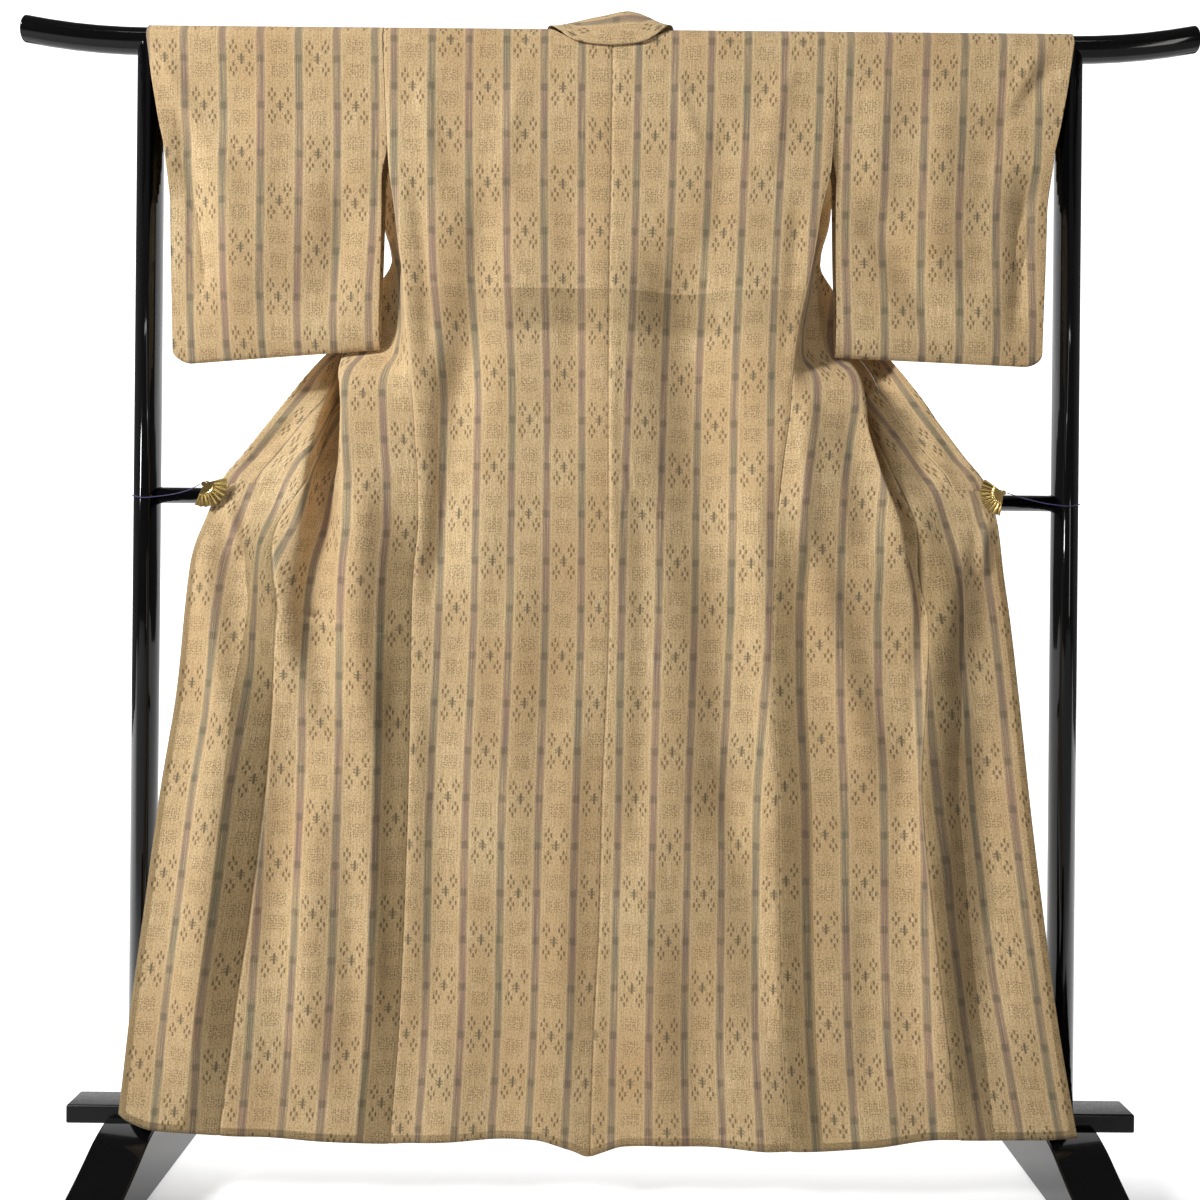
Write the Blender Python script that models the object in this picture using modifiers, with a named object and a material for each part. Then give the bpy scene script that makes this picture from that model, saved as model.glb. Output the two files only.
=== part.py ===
"""A silk kimono hung over a black lacquered kimono stand, seen from the garment's back.

+X runs to the right along the rail, -Y is the side that the back of the garment faces, and +Z is up.
The origin is on the floor, midway between the two feet. All sizes are in metres.
"""

import math

import bmesh
import bpy
import numpy as np

# ---------------------------------------------------------------- stand
ROD_RADIUS = 0.0185
RAIL_HEIGHT = 1.595
RAIL_BENDS = ((0.665, 0.0), (0.72, 0.003), (0.77, 0.0085), (0.819, 0.0165))  # (from centre, rise)
POST_X = 0.642
POST_TOP = 1.588
MIDDLE_RADIUS = 0.0115
MIDDLE_HEIGHT = 0.960
BOARD_HALF_LENGTH = 0.738
BOARD_DEPTH = 0.052
BOARD_UNDER = 0.0896
BOARD_THICK = 0.0257
FOOT_WIDTH = 0.075
FOOT_TOP = ((0.028, 0.1), (0.046, 0.097), (0.077, 0.089), (0.1125, 0.074), (0.142, 0.062),
            (0.169, 0.052), (0.205, 0.037), (0.228, 0.024), (0.24, 0.01))  # (from the middle, height)
FOOT_UNDER = ((0.24, 0.0), (0.185, 0.0), (0.175, 0.01))
JOINT_GAP = 0.0003

# ---------------------------------------------------------------- cloth
WALL = 0.0016
SEAM = 0.0005
SHOULDER = 1.6                      # the tables' top row
COLLAR_WIDTH = 0.050
OVER_RAIL = ROD_RADIUS + 0.002      # radius of the cloth's middle over the rail
NECK_LOW = 1.588                    # bottom of the back neckline
WRIST_LOW = 1.395                   # the wrist opening runs from the shoulder down to here
WRIST_FADE = (0.03, 0.05)           # the layers close from this far above it, over this height
WRIST_ACROSS = 0.72                 # and only over the sleeve's outer part from here
PINCH = 0.0013                      # half the distance between sewn layers' middles
BOTTOM_ROUND = 0.02                 # height over which the sleeve's layers part above its bottom fold
SIDE_TURN = (1.1, 1.16, 0.0012)     # over these heights the side seam's layers turn apart by this much
BACK_FOLDS = dict(top=1.5, fade=1.4, depth=0.004, pitch=0.145, shift=0.2, turn=2.1, flat_edge=0.03)

# Centre back seam and depth of the back, by height.
BACK = dict(
    z=(0.06, 0.15, 0.25, 0.40, 0.55, 0.80, 0.97, 1.10, 1.25, 1.42, 1.60),
    seam=(-0.015, -0.013, -0.010, -0.004, -0.002, 0.005, 0.003, 0.0015, 0.001, 0.0025, 0.003),
    y=(-0.066, -0.066, -0.066, -0.066, -0.066, -0.063, -0.060, -0.050, -0.035, -0.026, -0.0205),
)

# Height of the hem, by distance from the centre. The left and right sides sag unevenly.
HEM = dict(
    x=(-0.65, -0.635, -0.60, -0.51, -0.38, -0.28, -0.20, -0.09, -0.04, -0.015, 0.0,
       0.033, 0.07, 0.175, 0.26, 0.36, 0.48, 0.59, 0.645),
    z=(0.124, 0.112, 0.100, 0.0955, 0.088, 0.083, 0.087, 0.0905, 0.077, 0.067, 0.071,
       0.0815, 0.0845, 0.080, 0.077, 0.085, 0.098, 0.0985, 0.102),
)

# One row a height, x counted outwards from the centre: the side seam, the ridge where the front turns
# into its deep fold, the bottom of that fold, the ridge where it comes out, and the free front edge.
# okumi is the width of cloth from the free edge back to the okumi seam.
FOLD_COLUMNS = ("z", "side", "side_y", "ridge", "ridge_y", "valley", "valley_y", "fold", "fold_y",
                "edge", "edge_y", "okumi")
FOLDS_LEFT = (
    (1.600, 0.3150, 0.0205, 0.2700, 0.0215, 0.2150, 0.0225, 0.1500, 0.0225, 0.0450, 0.0225, 0.0500),
    (1.540, 0.3120, 0.0200, 0.2620, 0.0360, 0.2100, 0.0300, 0.1500, 0.0380, 0.0850, 0.0300, 0.0500),
    (1.480, 0.3090, 0.0190, 0.3040, 0.0400, 0.2280, 0.0260, 0.1800, 0.0520, 0.1350, 0.0380, 0.0500),
    (1.420, 0.3050, 0.0150, 0.3250, 0.0420, 0.2350, 0.0140, 0.2120, 0.0560, 0.1800, 0.0480, 0.0500),
    (1.360, 0.2965, 0.0040, 0.3250, 0.0420, 0.2320, 0.0100, 0.2100, 0.0500, 0.2250, 0.0700, 0.0500),
    (1.300, 0.2885, -0.012, 0.3120, 0.0360, 0.2220, 0.0140, 0.2260, 0.0580, 0.2710, 0.0750, 0.0620),
    (1.260, 0.2820, -0.033, 0.3350, 0.0340, 0.2340, 0.0300, 0.2500, 0.0700, 0.3180, 0.0680, 0.0720),
    (1.200, 0.2765, -0.040, 0.3500, 0.0280, 0.2900, 0.0620, 0.3220, 0.0820, 0.3680, 0.0450, 0.0900),
    (1.165, 0.2725, -0.042, 0.3770, 0.0170, 0.3250, 0.0720, 0.3580, 0.0780, 0.3950, 0.0180, 0.0980),
    (1.135, 0.2690, -0.046, 0.3750, -0.016, 0.3620, 0.0850, 0.3840, 0.0500, 0.4165, 0.0000, 0.1060),
    (1.110, 0.2663, -0.049, 0.3680, -0.036, 0.3800, 0.0700, 0.3910, 0.0200, 0.4350, -0.006, 0.1100),
    (1.080, 0.2635, -0.051, 0.3620, -0.048, 0.3830, 0.0480, 0.3960, -0.014, 0.4570, -0.010, 0.1150),
    (1.020, 0.2585, -0.056, 0.3580, -0.060, 0.3880, 0.0100, 0.4050, -0.046, 0.5020, -0.016, 0.1260),
    (0.980, 0.2550, -0.058, 0.3565, -0.062, 0.3900, -0.014, 0.4090, -0.056, 0.5320, -0.020, 0.1320),
    (0.920, 0.2540, -0.061, 0.3550, -0.064, 0.3890, -0.030, 0.4150, -0.061, 0.5530, -0.026, 0.1130),
    (0.860, 0.2590, -0.062, 0.3530, -0.066, 0.3900, -0.044, 0.4250, -0.064, 0.5685, -0.034, 0.1270),
    (0.800, 0.2610, -0.063, 0.3520, -0.067, 0.3930, -0.053, 0.4320, -0.066, 0.5740, -0.042, 0.1380),
    (0.700, 0.2615, -0.065, 0.3520, -0.069, 0.3970, -0.060, 0.4400, -0.068, 0.5810, -0.050, 0.1330),
    (0.550, 0.2630, -0.066, 0.3550, -0.070, 0.4020, -0.064, 0.4520, -0.070, 0.6005, -0.060, 0.1420),
    (0.400, 0.2665, -0.066, 0.3600, -0.071, 0.4120, -0.067, 0.4650, -0.072, 0.6175, -0.066, 0.1430),
    (0.250, 0.2720, -0.066, 0.3700, -0.072, 0.4250, -0.069, 0.4800, -0.074, 0.6350, -0.070, 0.1430),
    (0.100, 0.2830, -0.066, 0.3800, -0.073, 0.4400, -0.070, 0.5000, -0.075, 0.6480, -0.072, 0.1360),
)
FOLDS_RIGHT = (
    (1.600, 0.3167, 0.0205, 0.2700, 0.0215, 0.2150, 0.0225, 0.1500, 0.0225, 0.0450, 0.0225, 0.0500),
    (1.540, 0.3137, 0.0200, 0.2620, 0.0360, 0.2100, 0.0300, 0.1500, 0.0380, 0.0850, 0.0300, 0.0500),
    (1.480, 0.3108, 0.0190, 0.3040, 0.0400, 0.2280, 0.0260, 0.1800, 0.0520, 0.1350, 0.0380, 0.0500),
    (1.420, 0.3070, 0.0150, 0.3250, 0.0420, 0.2350, 0.0140, 0.2120, 0.0560, 0.1800, 0.0480, 0.0500),
    (1.360, 0.2935, 0.0040, 0.3190, 0.0420, 0.2320, 0.0100, 0.2100, 0.0500, 0.2240, 0.0700, 0.0500),
    (1.300, 0.2840, -0.012, 0.3060, 0.0360, 0.2180, 0.0140, 0.2220, 0.0580, 0.2675, 0.0750, 0.0620),
    (1.260, 0.2760, -0.033, 0.3260, 0.0340, 0.2300, 0.0300, 0.2460, 0.0700, 0.3150, 0.0680, 0.0720),
    (1.200, 0.2625, -0.040, 0.3320, 0.0280, 0.3000, 0.0600, 0.3400, 0.0750, 0.3700, 0.0450, 0.0840),
    (1.165, 0.2570, -0.042, 0.3430, 0.0170, 0.3250, 0.0600, 0.3620, 0.0580, 0.3957, 0.0140, 0.0980),
    (1.135, 0.2535, -0.046, 0.3500, -0.022, 0.3300, 0.0550, 0.3740, 0.0400, 0.4170, 0.0000, 0.1000),
    (1.110, 0.2512, -0.049, 0.3540, -0.042, 0.3360, 0.0500, 0.3800, 0.0180, 0.4350, -0.006, 0.1000),
    (1.080, 0.2490, -0.051, 0.3580, -0.052, 0.3430, 0.0400, 0.3820, -0.004, 0.4565, -0.010, 0.1020),
    (1.020, 0.2405, -0.056, 0.3730, -0.060, 0.3600, 0.0080, 0.3940, -0.020, 0.4993, -0.016, 0.1140),
    (0.980, 0.2355, -0.058, 0.3850, -0.063, 0.3740, -0.018, 0.4060, -0.032, 0.5277, -0.020, 0.1260),
    (0.920, 0.2310, -0.061, 0.4050, -0.066, 0.4020, -0.034, 0.4280, -0.048, 0.5420, -0.026, 0.1210),
    (0.860, 0.2290, -0.062, 0.4120, -0.067, 0.4200, -0.050, 0.4440, -0.056, 0.5470, -0.034, 0.1250),
    (0.800, 0.2265, -0.063, 0.4180, -0.068, 0.4320, -0.056, 0.4550, -0.061, 0.5535, -0.042, 0.1200),
    (0.700, 0.2280, -0.065, 0.4000, -0.069, 0.4250, -0.062, 0.4520, -0.066, 0.5635, -0.050, 0.1320),
    (0.550, 0.2360, -0.066, 0.3800, -0.070, 0.4150, -0.064, 0.4550, -0.070, 0.5775, -0.060, 0.1490),
    (0.400, 0.2390, -0.066, 0.3750, -0.071, 0.4150, -0.067, 0.4620, -0.072, 0.5950, -0.066, 0.1510),
    (0.250, 0.2440, -0.066, 0.3750, -0.072, 0.4250, -0.069, 0.4780, -0.074, 0.6155, -0.070, 0.1540),
    (0.100, 0.2560, -0.066, 0.3800, -0.073, 0.4400, -0.070, 0.4950, -0.075, 0.6415, -0.072, 0.1610),
)
FOLD_HALF = 0.009          # half the width of the fold's rounded bottom
# Halfway from the fold to the free edge: the share of the fold's depth left there, and an extra rise.
TURN = dict(z=(0.1, 1.05, 1.165, 1.45, 1.6), share=(0.2, 0.2, 0.5, 0.5, 0.5), rise=(0.0, 0.0, 0.01, 0.002, 0.0))
# Just outside the side seam the front turns inwards: its share of the way across to the ridge, and in depth.
IN_ACROSS = 0.25
IN_DEEP = dict(z=(1.05, 1.165, 1.36, 1.45), share=(0.25, 0.7, 0.7, 0.25))
ROUNDING = 8               # the section's points are averaged over this many each way
STEP = 0.004               # distance along the cloth over which its direction is read
KENSAKI = 1.345            # top point of the okumi
HEM_LEVEL = 0.100          # the last fold row; the hem itself follows HEM
HEM_FADE = 0.32            # above this height the rows are level
CLIP_LEVEL = 0.976         # the okumi reaches the free edge below the clips
COLLAR_END = 0.978         # the collar ends at the clips
# Heights of the front's rows, close together where its fold turns. Seams share them.
LEVELS = (1.57, 1.54, 1.50, 1.46, 1.42, 1.38, 1.34, 1.30, 1.27, 1.24, 1.21, 1.185, 1.165, 1.15, 1.135,
          1.11, 1.08, 1.05, 1.02, 1.0, 0.978, 0.976, 0.974, 0.95, 0.92, 0.86, 0.80, 0.70, 0.55, 0.40, 0.25,
          0.16, 0.10)

# Collar at the neck, centre back to the shoulder: the seam edge, then the free edge.
NECK = (
    # seam x, y, z             free x, y, z
    (0.000, -0.0235, 1.586, 0.000, -0.0060, 1.6290),
    (0.026, -0.0235, 1.588, 0.020, -0.0060, 1.6290),
    (0.050, -0.0245, 1.593, 0.036, -0.0040, 1.6280),
    (0.076, -0.0195, 1.6115, 0.050, 0.0000, 1.6265),
    (0.087, 0.0000, 1.6205, 0.051, 0.0080, 1.6230),
    (0.0925, 0.0205, 1.6105, 0.048, 0.0200, 1.6120),
)
NECK_BULGE = 0.0065        # the collar rolls out over the rail at the back of the neck
BULGE_REACH = 0.08         # as far as this from the centre
BULGE_WAY = (0, -0.92, 0.39)
NECK_TO_SHOULDER = ((-90, 0.053), (-60, 0.071), (-30, 0.0825), (0, 0.0895), (30, 0.0935), (60, 0.096),
                    (90, 0.097))  # (angle round the rail, where the body's neck edge is)

# Sleeve outline by height: the inner edge, the outer edge, and half the depth between the layers.
SLEEVE = dict(
    z=(1.145, 1.160, 1.200, 1.300, 1.395, 1.432, 1.480, 1.540, 1.600),
    inner=(0.3185, 0.3185, 0.3185, 0.3160, 0.3150, 0.3150, 0.3150, 0.3165, 0.3190),
    outer=(0.602, 0.6085, 0.6095, 0.6125, 0.6145, 0.6160, 0.6250, 0.6350, 0.6430),
    depth=(0.0045, 0.006, 0.0095, 0.014, 0.0175, 0.0185, 0.0195, 0.0203, 0.0205),
)
SLEEVE_BOTTOM = dict(left=(1.1665, 1.143), right=(1.1615, 1.150))   # at the inner edge, at the outer

# ---------------------------------------------------------------- clips
FAN_RADIUS = 0.032
FAN_STAND_OFF = 0.0120     # how far the fan's face stands in front of the cloth's middle
JAW_RADIUS = 0.024
JAW_STAND_OFF = 0.0026
JAW_INSET = 12             # the jaw's sides lie this many degrees inside the fan's
PIN_RADIUS = 0.0035
BOSS_RADIUS = 0.0056       # round of the jaw at the pin
BOSS_TURN = 50
PLATE = 0.0012
FAN_PLEATS = 9
PLEAT_DEPTH = 0.0016
FANS = {  # pivot x, z, middle angle of the fan, its spread
    "left": (-0.553, 0.9735, -48.0, 130.0),
    "right": (0.546, 0.9715, -157.0, 118.0),
}
CORD_RADIUS = 0.0006
CORD_AT_POST = 0.955
CORD_SAG = 0.004
CORD_TO_POST = ((0.580, -0.0260, 0.9640), (0.610, -0.0225, 0.9580))      # x outwards, y, z
CORD_END = ((0.624, 0.0180, 0.9530), (0.612, 0.0140, 0.9600), (0.604, 0.0100, 0.9700))

SIDES = (("left", -1, FOLDS_LEFT), ("right", 1, FOLDS_RIGHT))


def clear_scene():
    for obj in list(bpy.data.objects):
        bpy.data.objects.remove(obj, do_unlink=True)


def new_collection(name):
    found = bpy.data.collections.new(name)
    bpy.context.scene.collection.children.link(found)
    return found


def material(name, colour, roughness, metallic=0.0):
    found = bpy.data.materials.new(name)
    found.use_nodes = True
    shader = found.node_tree.nodes["Principled BSDF"]
    shader.inputs["Base Color"].default_value = (*colour, 1.0)
    shader.inputs["Roughness"].default_value = roughness
    shader.inputs["Metallic"].default_value = metallic
    found.diffuse_color = (*colour, 1.0)
    return found


# ---------------------------------------------------------------- curves through a table
def smooth(at, knots, values):
    """A curve through the values that never overshoots them: piecewise cubic with limited slopes."""
    knots = np.asarray(knots, float)
    values = np.asarray(values, float)
    steps = np.diff(knots)
    rises = np.diff(values) / steps
    slopes = np.zeros(len(knots))
    same = rises[1:] * rises[:-1] > 0
    slopes[1:-1][same] = 2 * rises[1:][same] * rises[:-1][same] / (rises[1:] + rises[:-1])[same]
    slopes[0] = rises[0]
    slopes[-1] = rises[-1]
    at = np.clip(np.asarray(at, float), knots[0], knots[-1])
    i = np.clip(np.searchsorted(knots, at, side="right") - 1, 0, len(steps) - 1)
    t = (at - knots[i]) / steps[i]
    low = values[i] * (1 + 2 * t) * (1 - t) ** 2 + slopes[i] * steps[i] * t * (1 - t) ** 2
    high = values[i + 1] * t * t * (3 - 2 * t) + slopes[i + 1] * steps[i] * t * t * (t - 1)
    return low + high


def through(points, count):
    """A rounded line through the points, read at even steps of its length."""
    points = np.asarray(points, float)
    reach = np.concatenate([[0], np.cumsum(np.linalg.norm(np.diff(points, axis=0), axis=1))])
    fine = np.linspace(0, reach[-1], 400)
    line = np.stack([smooth(fine, reach, points[:, k]) for k in range(points.shape[1])], axis=1)
    length = np.concatenate([[0], np.cumsum(np.linalg.norm(np.diff(line, axis=0), axis=1))])
    even = np.linspace(0, length[-1], count)
    return np.stack([np.interp(even, length, line[:, k]) for k in range(points.shape[1])], axis=1)


def back_ripple(x, z):
    """The soft upright folds of the back: deeper towards the hem, none at the shoulder."""
    reach = np.clip((BACK_FOLDS["top"] - z) / BACK_FOLDS["fade"], 0, 1)
    wave = np.sin(2 * math.pi * (x / BACK_FOLDS["pitch"] + BACK_FOLDS["shift"]))
    return BACK_FOLDS["depth"] * reach * wave * np.cos(BACK_FOLDS["turn"] * z)


# ---------------------------------------------------------------- the front's cross-section
class Front:
    """One opened front, as a horizontal section at each height, from the side seam to its free edge."""

    def __init__(self, sign, rows):
        table = np.array(rows)[::-1]
        self.sign = sign
        self.columns = dict(zip(FOLD_COLUMNS, table.T))

    def value(self, name, z):
        return float(smooth(z, self.columns["z"], self.columns[name]))

    def section(self, z):
        """Points (x outwards, y) along the cloth at this height."""
        side, ridge, valley, fold, edge = (
            np.array([self.value(name, z), self.value(name + "_y", z)])
            for name in ("side", "ridge", "valley", "fold", "edge")
        )
        along = edge - side
        half = FOLD_HALF * along / np.linalg.norm(along)
        share, rise = (float(smooth(z, TURN["z"], TURN[name])) for name in ("share", "rise"))
        middle = np.array([(fold[0] + edge[0]) / 2, edge[1] + share * (fold[1] - edge[1]) + rise])
        inward = side + (ridge - side) * np.array([IN_ACROSS, float(smooth(z, IN_DEEP["z"], IN_DEEP["share"]))])
        line = through([side, inward, ridge, valley - half, valley + half, fold, middle, edge], 300)
        ends = np.pad(line, ((ROUNDING, ROUNDING), (0, 0)), mode="reflect", reflect_type="odd")
        window = np.ones(2 * ROUNDING + 1) / (2 * ROUNDING + 1)
        return np.stack([np.convolve(ends[:, k], window, mode="valid") for k in range(2)], axis=1)

    def at(self, z, back_from_edge):
        """Points of the section at these distances along the cloth, counted back from the free edge."""
        line = self.section(z)
        length = np.concatenate([[0], np.cumsum(np.linalg.norm(np.diff(line, axis=0), axis=1))])
        at = length[-1] - np.asarray(back_from_edge)
        return np.stack([np.interp(at, length, line[:, k]) for k in range(2)], axis=1)

    def width(self, z):
        line = self.section(z)
        return float(np.linalg.norm(np.diff(line, axis=0), axis=1).sum())

    def okumi(self, z):
        return self.value("okumi", z)


def hem_drop(sign, flat, z):
    """Moves a row near the hem up or down so that the last one follows the hem's uneven line."""
    x = sign * flat[:, 0]
    near = np.clip((HEM_FADE - z) / (HEM_FADE - HEM_LEVEL), 0, 1)
    return z + near ** 2 * (smooth(x, HEM["x"], HEM["z"]) - HEM_LEVEL)


def front_row(front, z, distances):
    """One row of the front at height z, and the direction of the cloth along it."""
    flat = front.at(z, distances)
    ahead = front.at(z, np.asarray(distances) - STEP) - front.at(z, np.asarray(distances) + STEP)
    heights = hem_drop(front.sign, flat, z)
    row = np.stack([front.sign * flat[:, 0], flat[:, 1], heights], axis=1)
    return row, np.stack([front.sign * ahead[:, 0], ahead[:, 1], 0 * heights], axis=1)


def faces_of(rows, alongs):
    """The grid of a sheet, and its normals from the rows' directions and the step between rows."""
    grid = np.array(rows)
    normals = np.cross(np.array(alongs), np.gradient(grid, axis=0))
    return grid, normals / np.linalg.norm(normals, axis=2, keepdims=True)


# ---------------------------------------------------------------- cloth grids
def body_grid(front, across):
    """One length of cloth: up the back, over the rail and down the front, a row at a time."""
    sign = front.sign
    rows, alongs = [], []
    outwards = np.tile([float(sign), 0.0, 0.0], (across, 1))
    for z in LEVELS[::-1] + (NECK_LOW,):
        seam = sign * smooth(z, BACK["z"], BACK["seam"]) + SEAM
        side = front.value("side", z) - SEAM
        x = np.linspace(seam, side, across)
        inside = np.clip((side - x) / BACK_FOLDS["flat_edge"], 0, 1)
        y = smooth(z, BACK["z"], BACK["y"]) + back_ripple(sign * x, z) * inside
        flat = np.stack([x, y], axis=1)
        rows.append(np.stack([sign * x, y, hem_drop(sign, flat, z)], axis=1))
        alongs.append(outwards)
    for degrees, neck in NECK_TO_SHOULDER:
        angle = math.radians(degrees)
        x = np.linspace(neck, front.value("side", SHOULDER), across)
        y = OVER_RAIL * math.sin(angle) + 0 * x
        z = RAIL_HEIGHT + OVER_RAIL * math.cos(angle) + 0 * x
        rows.append(np.stack([sign * x, y, z], axis=1))
        alongs.append(outwards)
    for z in LEVELS:
        inner = max(front.okumi(z), COLLAR_WIDTH) + SEAM
        low, high, apart = SIDE_TURN
        side_gap = SEAM + apart * min(max((z - low) / (high - low), 0), 1)
        row, along = front_row(front, z, np.linspace(inner, front.width(z) - side_gap, across))
        rows.append(row)
        alongs.append(-along)
    return faces_of(rows, alongs)


def okumi_grid(front, across):
    rows, alongs = [], []
    for z in (level for level in LEVELS if level < KENSAKI):
        outer = COLLAR_WIDTH + SEAM if z >= CLIP_LEVEL else 0.0
        row, along = front_row(front, z, np.linspace(front.okumi(z) - SEAM, outer, across))
        rows.append(row)
        alongs.append(along)
    return faces_of(rows, alongs)


def collar_grid(fronts, across):
    """One strip: up the left front edge, round the back of the neck and down the right."""
    halves = {}
    for name, sign, front in fronts:
        flip = np.array([sign, 1, 1])
        rows, alongs = [], []
        for row in np.array(NECK):
            strip = np.linspace(row[:3] * flip, row[3:] * flip, across)
            rise = max(1 - row[0] / BULGE_REACH, 0) ** 0.5 * np.sin(np.linspace(0, math.pi, across))
            rows.append(strip + NECK_BULGE * rise[:, None] * np.array(BULGE_WAY))
            alongs.append(np.gradient(rows[-1], axis=0))
        for z in (RAIL_HEIGHT,) + tuple(level for level in LEVELS if level >= COLLAR_END):
            row, along = front_row(front, z, np.linspace(COLLAR_WIDTH - SEAM, 0.0, across))
            rows.append(row)
            alongs.append(along)
        halves[name] = (rows, alongs)
    left, right = halves["left"], halves["right"]
    return faces_of(left[0][::-1] + right[0][1:], left[1][::-1] + right[1][1:])


def sleeve_grid(name, sign, across, around):
    """A flat tube hung over the rail, as a ring at each place across, open at the wrist and inner edge."""
    low_in, low_out = SLEEVE_BOTTOM[name]
    columns = []
    for u in np.linspace(0, 1, across):
        bottom = low_in + (low_out - low_in) * u
        # Even steps from the bottom fold up one layer, over the rail and down the other.
        up = np.linspace(bottom, RAIL_HEIGHT, around)
        ring = []
        for z in up:
            inner, outer = (smooth(z, SLEEVE["z"], SLEEVE[edge]) for edge in ("inner", "outer"))
            x = (1 - u) * inner + u * outer + SEAM
            above, fade = WRIST_FADE
            shut = np.clip((WRIST_LOW + above - z) / fade, 0, 1)
            shut *= np.clip((u - WRIST_ACROSS) / (1 - WRIST_ACROSS), 0, 1)
            depth = smooth(z, SLEEVE["z"], SLEEVE["depth"])
            depth = depth * (1 - shut) + PINCH * shut
            depth *= np.clip((z - bottom) / BOTTOM_ROUND, 0, 1) ** 0.5
            depth = max(depth, PINCH)
            ring.append((x, -depth, z))
        top = []
        x = ring[-1][0]
        for degrees in (-60, -30, 0, 30, 60):
            angle = math.radians(degrees)
            top.append((x, OVER_RAIL * math.sin(angle), RAIL_HEIGHT + OVER_RAIL * math.cos(angle)))
        other = [(px, -py, pz) for px, py, pz in ring[::-1]]
        columns.append(np.array(ring + top + other))
    grid = np.array(columns)
    grid[:, :, 0] *= sign
    return grid


def wall(collection, name, grid, normals, colour):
    """A sheet as a closed wall: both faces lie half the cloth's thickness off the grid, with rims between."""
    rows, columns = grid.shape[:2]
    made = bmesh.new()
    layers = [[[made.verts.new(grid[i, j] + side * WALL / 2 * normals[i, j]) for j in range(columns)]
               for i in range(rows)] for side in (1, -1)]
    for layer in layers:
        for i in range(rows - 1):
            for j in range(columns - 1):
                made.faces.new((layer[i][j], layer[i][j + 1], layer[i + 1][j + 1], layer[i + 1][j]))
    rim = [(0, j) for j in range(columns)] + [(i, columns - 1) for i in range(1, rows)]
    rim += [(rows - 1, j) for j in range(columns - 2, -1, -1)] + [(i, 0) for i in range(rows - 2, 0, -1)]
    for here, there in zip(rim, rim[1:] + rim[:1]):
        made.faces.new([layers[0][here[0]][here[1]], layers[0][there[0]][there[1]],
                        layers[1][there[0]][there[1]], layers[1][here[0]][here[1]]])
    bmesh.ops.recalc_face_normals(made, faces=made.faces)
    mesh = bpy.data.meshes.new(name)
    made.to_mesh(mesh)
    made.free()
    mesh.shade_smooth()
    obj = bpy.data.objects.new(name, mesh)
    obj.data.materials.append(colour)
    collection.objects.link(obj)


def cloth(collection, name, grid, colour, ring=False):
    """Makes the sheet that runs through the grid's points and gives it the cloth's thickness."""
    rows, columns = grid.shape[:2]
    mesh = bpy.data.meshes.new(name)
    faces = []
    for i in range(rows - 1):
        for j in range(columns if ring else columns - 1):
            k = (j + 1) % columns
            faces.append((i * columns + j, i * columns + k, (i + 1) * columns + k, (i + 1) * columns + j))
    mesh.from_pydata(grid.reshape(-1, 3).tolist(), [], faces)
    mesh.shade_smooth()
    obj = bpy.data.objects.new(name, mesh)
    obj.data.materials.append(colour)
    solid = obj.modifiers.new("Wall", "SOLIDIFY")
    solid.thickness = WALL
    solid.offset = 0.0
    collection.objects.link(obj)
    return obj


# ---------------------------------------------------------------- stand pieces
def rod(collection, name, points, radius, colour, sides=4):
    curve = bpy.data.curves.new(name, "CURVE")
    curve.dimensions = "3D"
    curve.bevel_depth = radius
    curve.bevel_resolution = sides
    curve.use_fill_caps = True
    spline = curve.splines.new("POLY")
    spline.points.add(len(points) - 1)
    for point, place_at in zip(spline.points, points):
        point.co = (*place_at, 1.0)
    obj = bpy.data.objects.new(name, curve)
    obj.data.materials.append(colour)
    collection.objects.link(obj)
    return obj


def cylinder(collection, name, radius, start, end, colour=None, sides=24):
    """A closed round bar between two points."""
    start = np.array(start, float)
    end = np.array(end, float)
    mesh = bpy.data.meshes.new(name)
    made = bmesh.new()
    bmesh.ops.create_cone(made, cap_ends=True, segments=sides, radius1=radius, radius2=radius,
                          depth=float(np.linalg.norm(end - start)))
    made.to_mesh(mesh)
    made.free()
    mesh.shade_smooth()
    mesh.set_sharp_from_angle(angle=math.radians(40))
    obj = bpy.data.objects.new(name, mesh)
    obj.location = (start + end) / 2
    if abs(end[0] - start[0]) > 1e-6:
        obj.rotation_euler = (0.0, math.pi / 2, 0.0)
    if colour:
        obj.data.materials.append(colour)
    collection.objects.link(obj)
    return obj


def cope(obj, cutter):
    """Cuts the bar's end to the round of the bar that it meets."""
    cut = obj.modifiers.new("Cope", "BOOLEAN")
    cut.operation = "DIFFERENCE"
    cut.object = cutter


def as_cutter(obj):
    obj.hide_render = True
    obj.display_type = "WIRE"
    return obj


def box(collection, name, centre, size, colour, bevel):
    mesh = bpy.data.meshes.new(name)
    made = bmesh.new()
    bmesh.ops.create_cube(made, size=1.0)
    bmesh.ops.scale(made, vec=size, verts=made.verts)
    made.to_mesh(mesh)
    made.free()
    obj = bpy.data.objects.new(name, mesh)
    obj.location = centre
    obj.data.materials.append(colour)
    edge = obj.modifiers.new("Edge", "BEVEL")
    edge.width = bevel
    edge.segments = 2
    collection.objects.link(obj)
    return obj


def outline_plate(collection, name, outline, thickness, colour):
    """A flat plate with this outline in its own X and Y."""
    curve = bpy.data.curves.new(name, "CURVE")
    curve.dimensions = "2D"
    curve.fill_mode = "BOTH"
    curve.extrude = thickness / 2
    spline = curve.splines.new("POLY")
    spline.points.add(len(outline) - 1)
    for point, (x, y) in zip(spline.points, outline):
        point.co = (x, y, 0.0, 1.0)
    spline.use_cyclic_u = True
    obj = bpy.data.objects.new(name, curve)
    obj.data.materials.append(colour)
    collection.objects.link(obj)
    return obj


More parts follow.
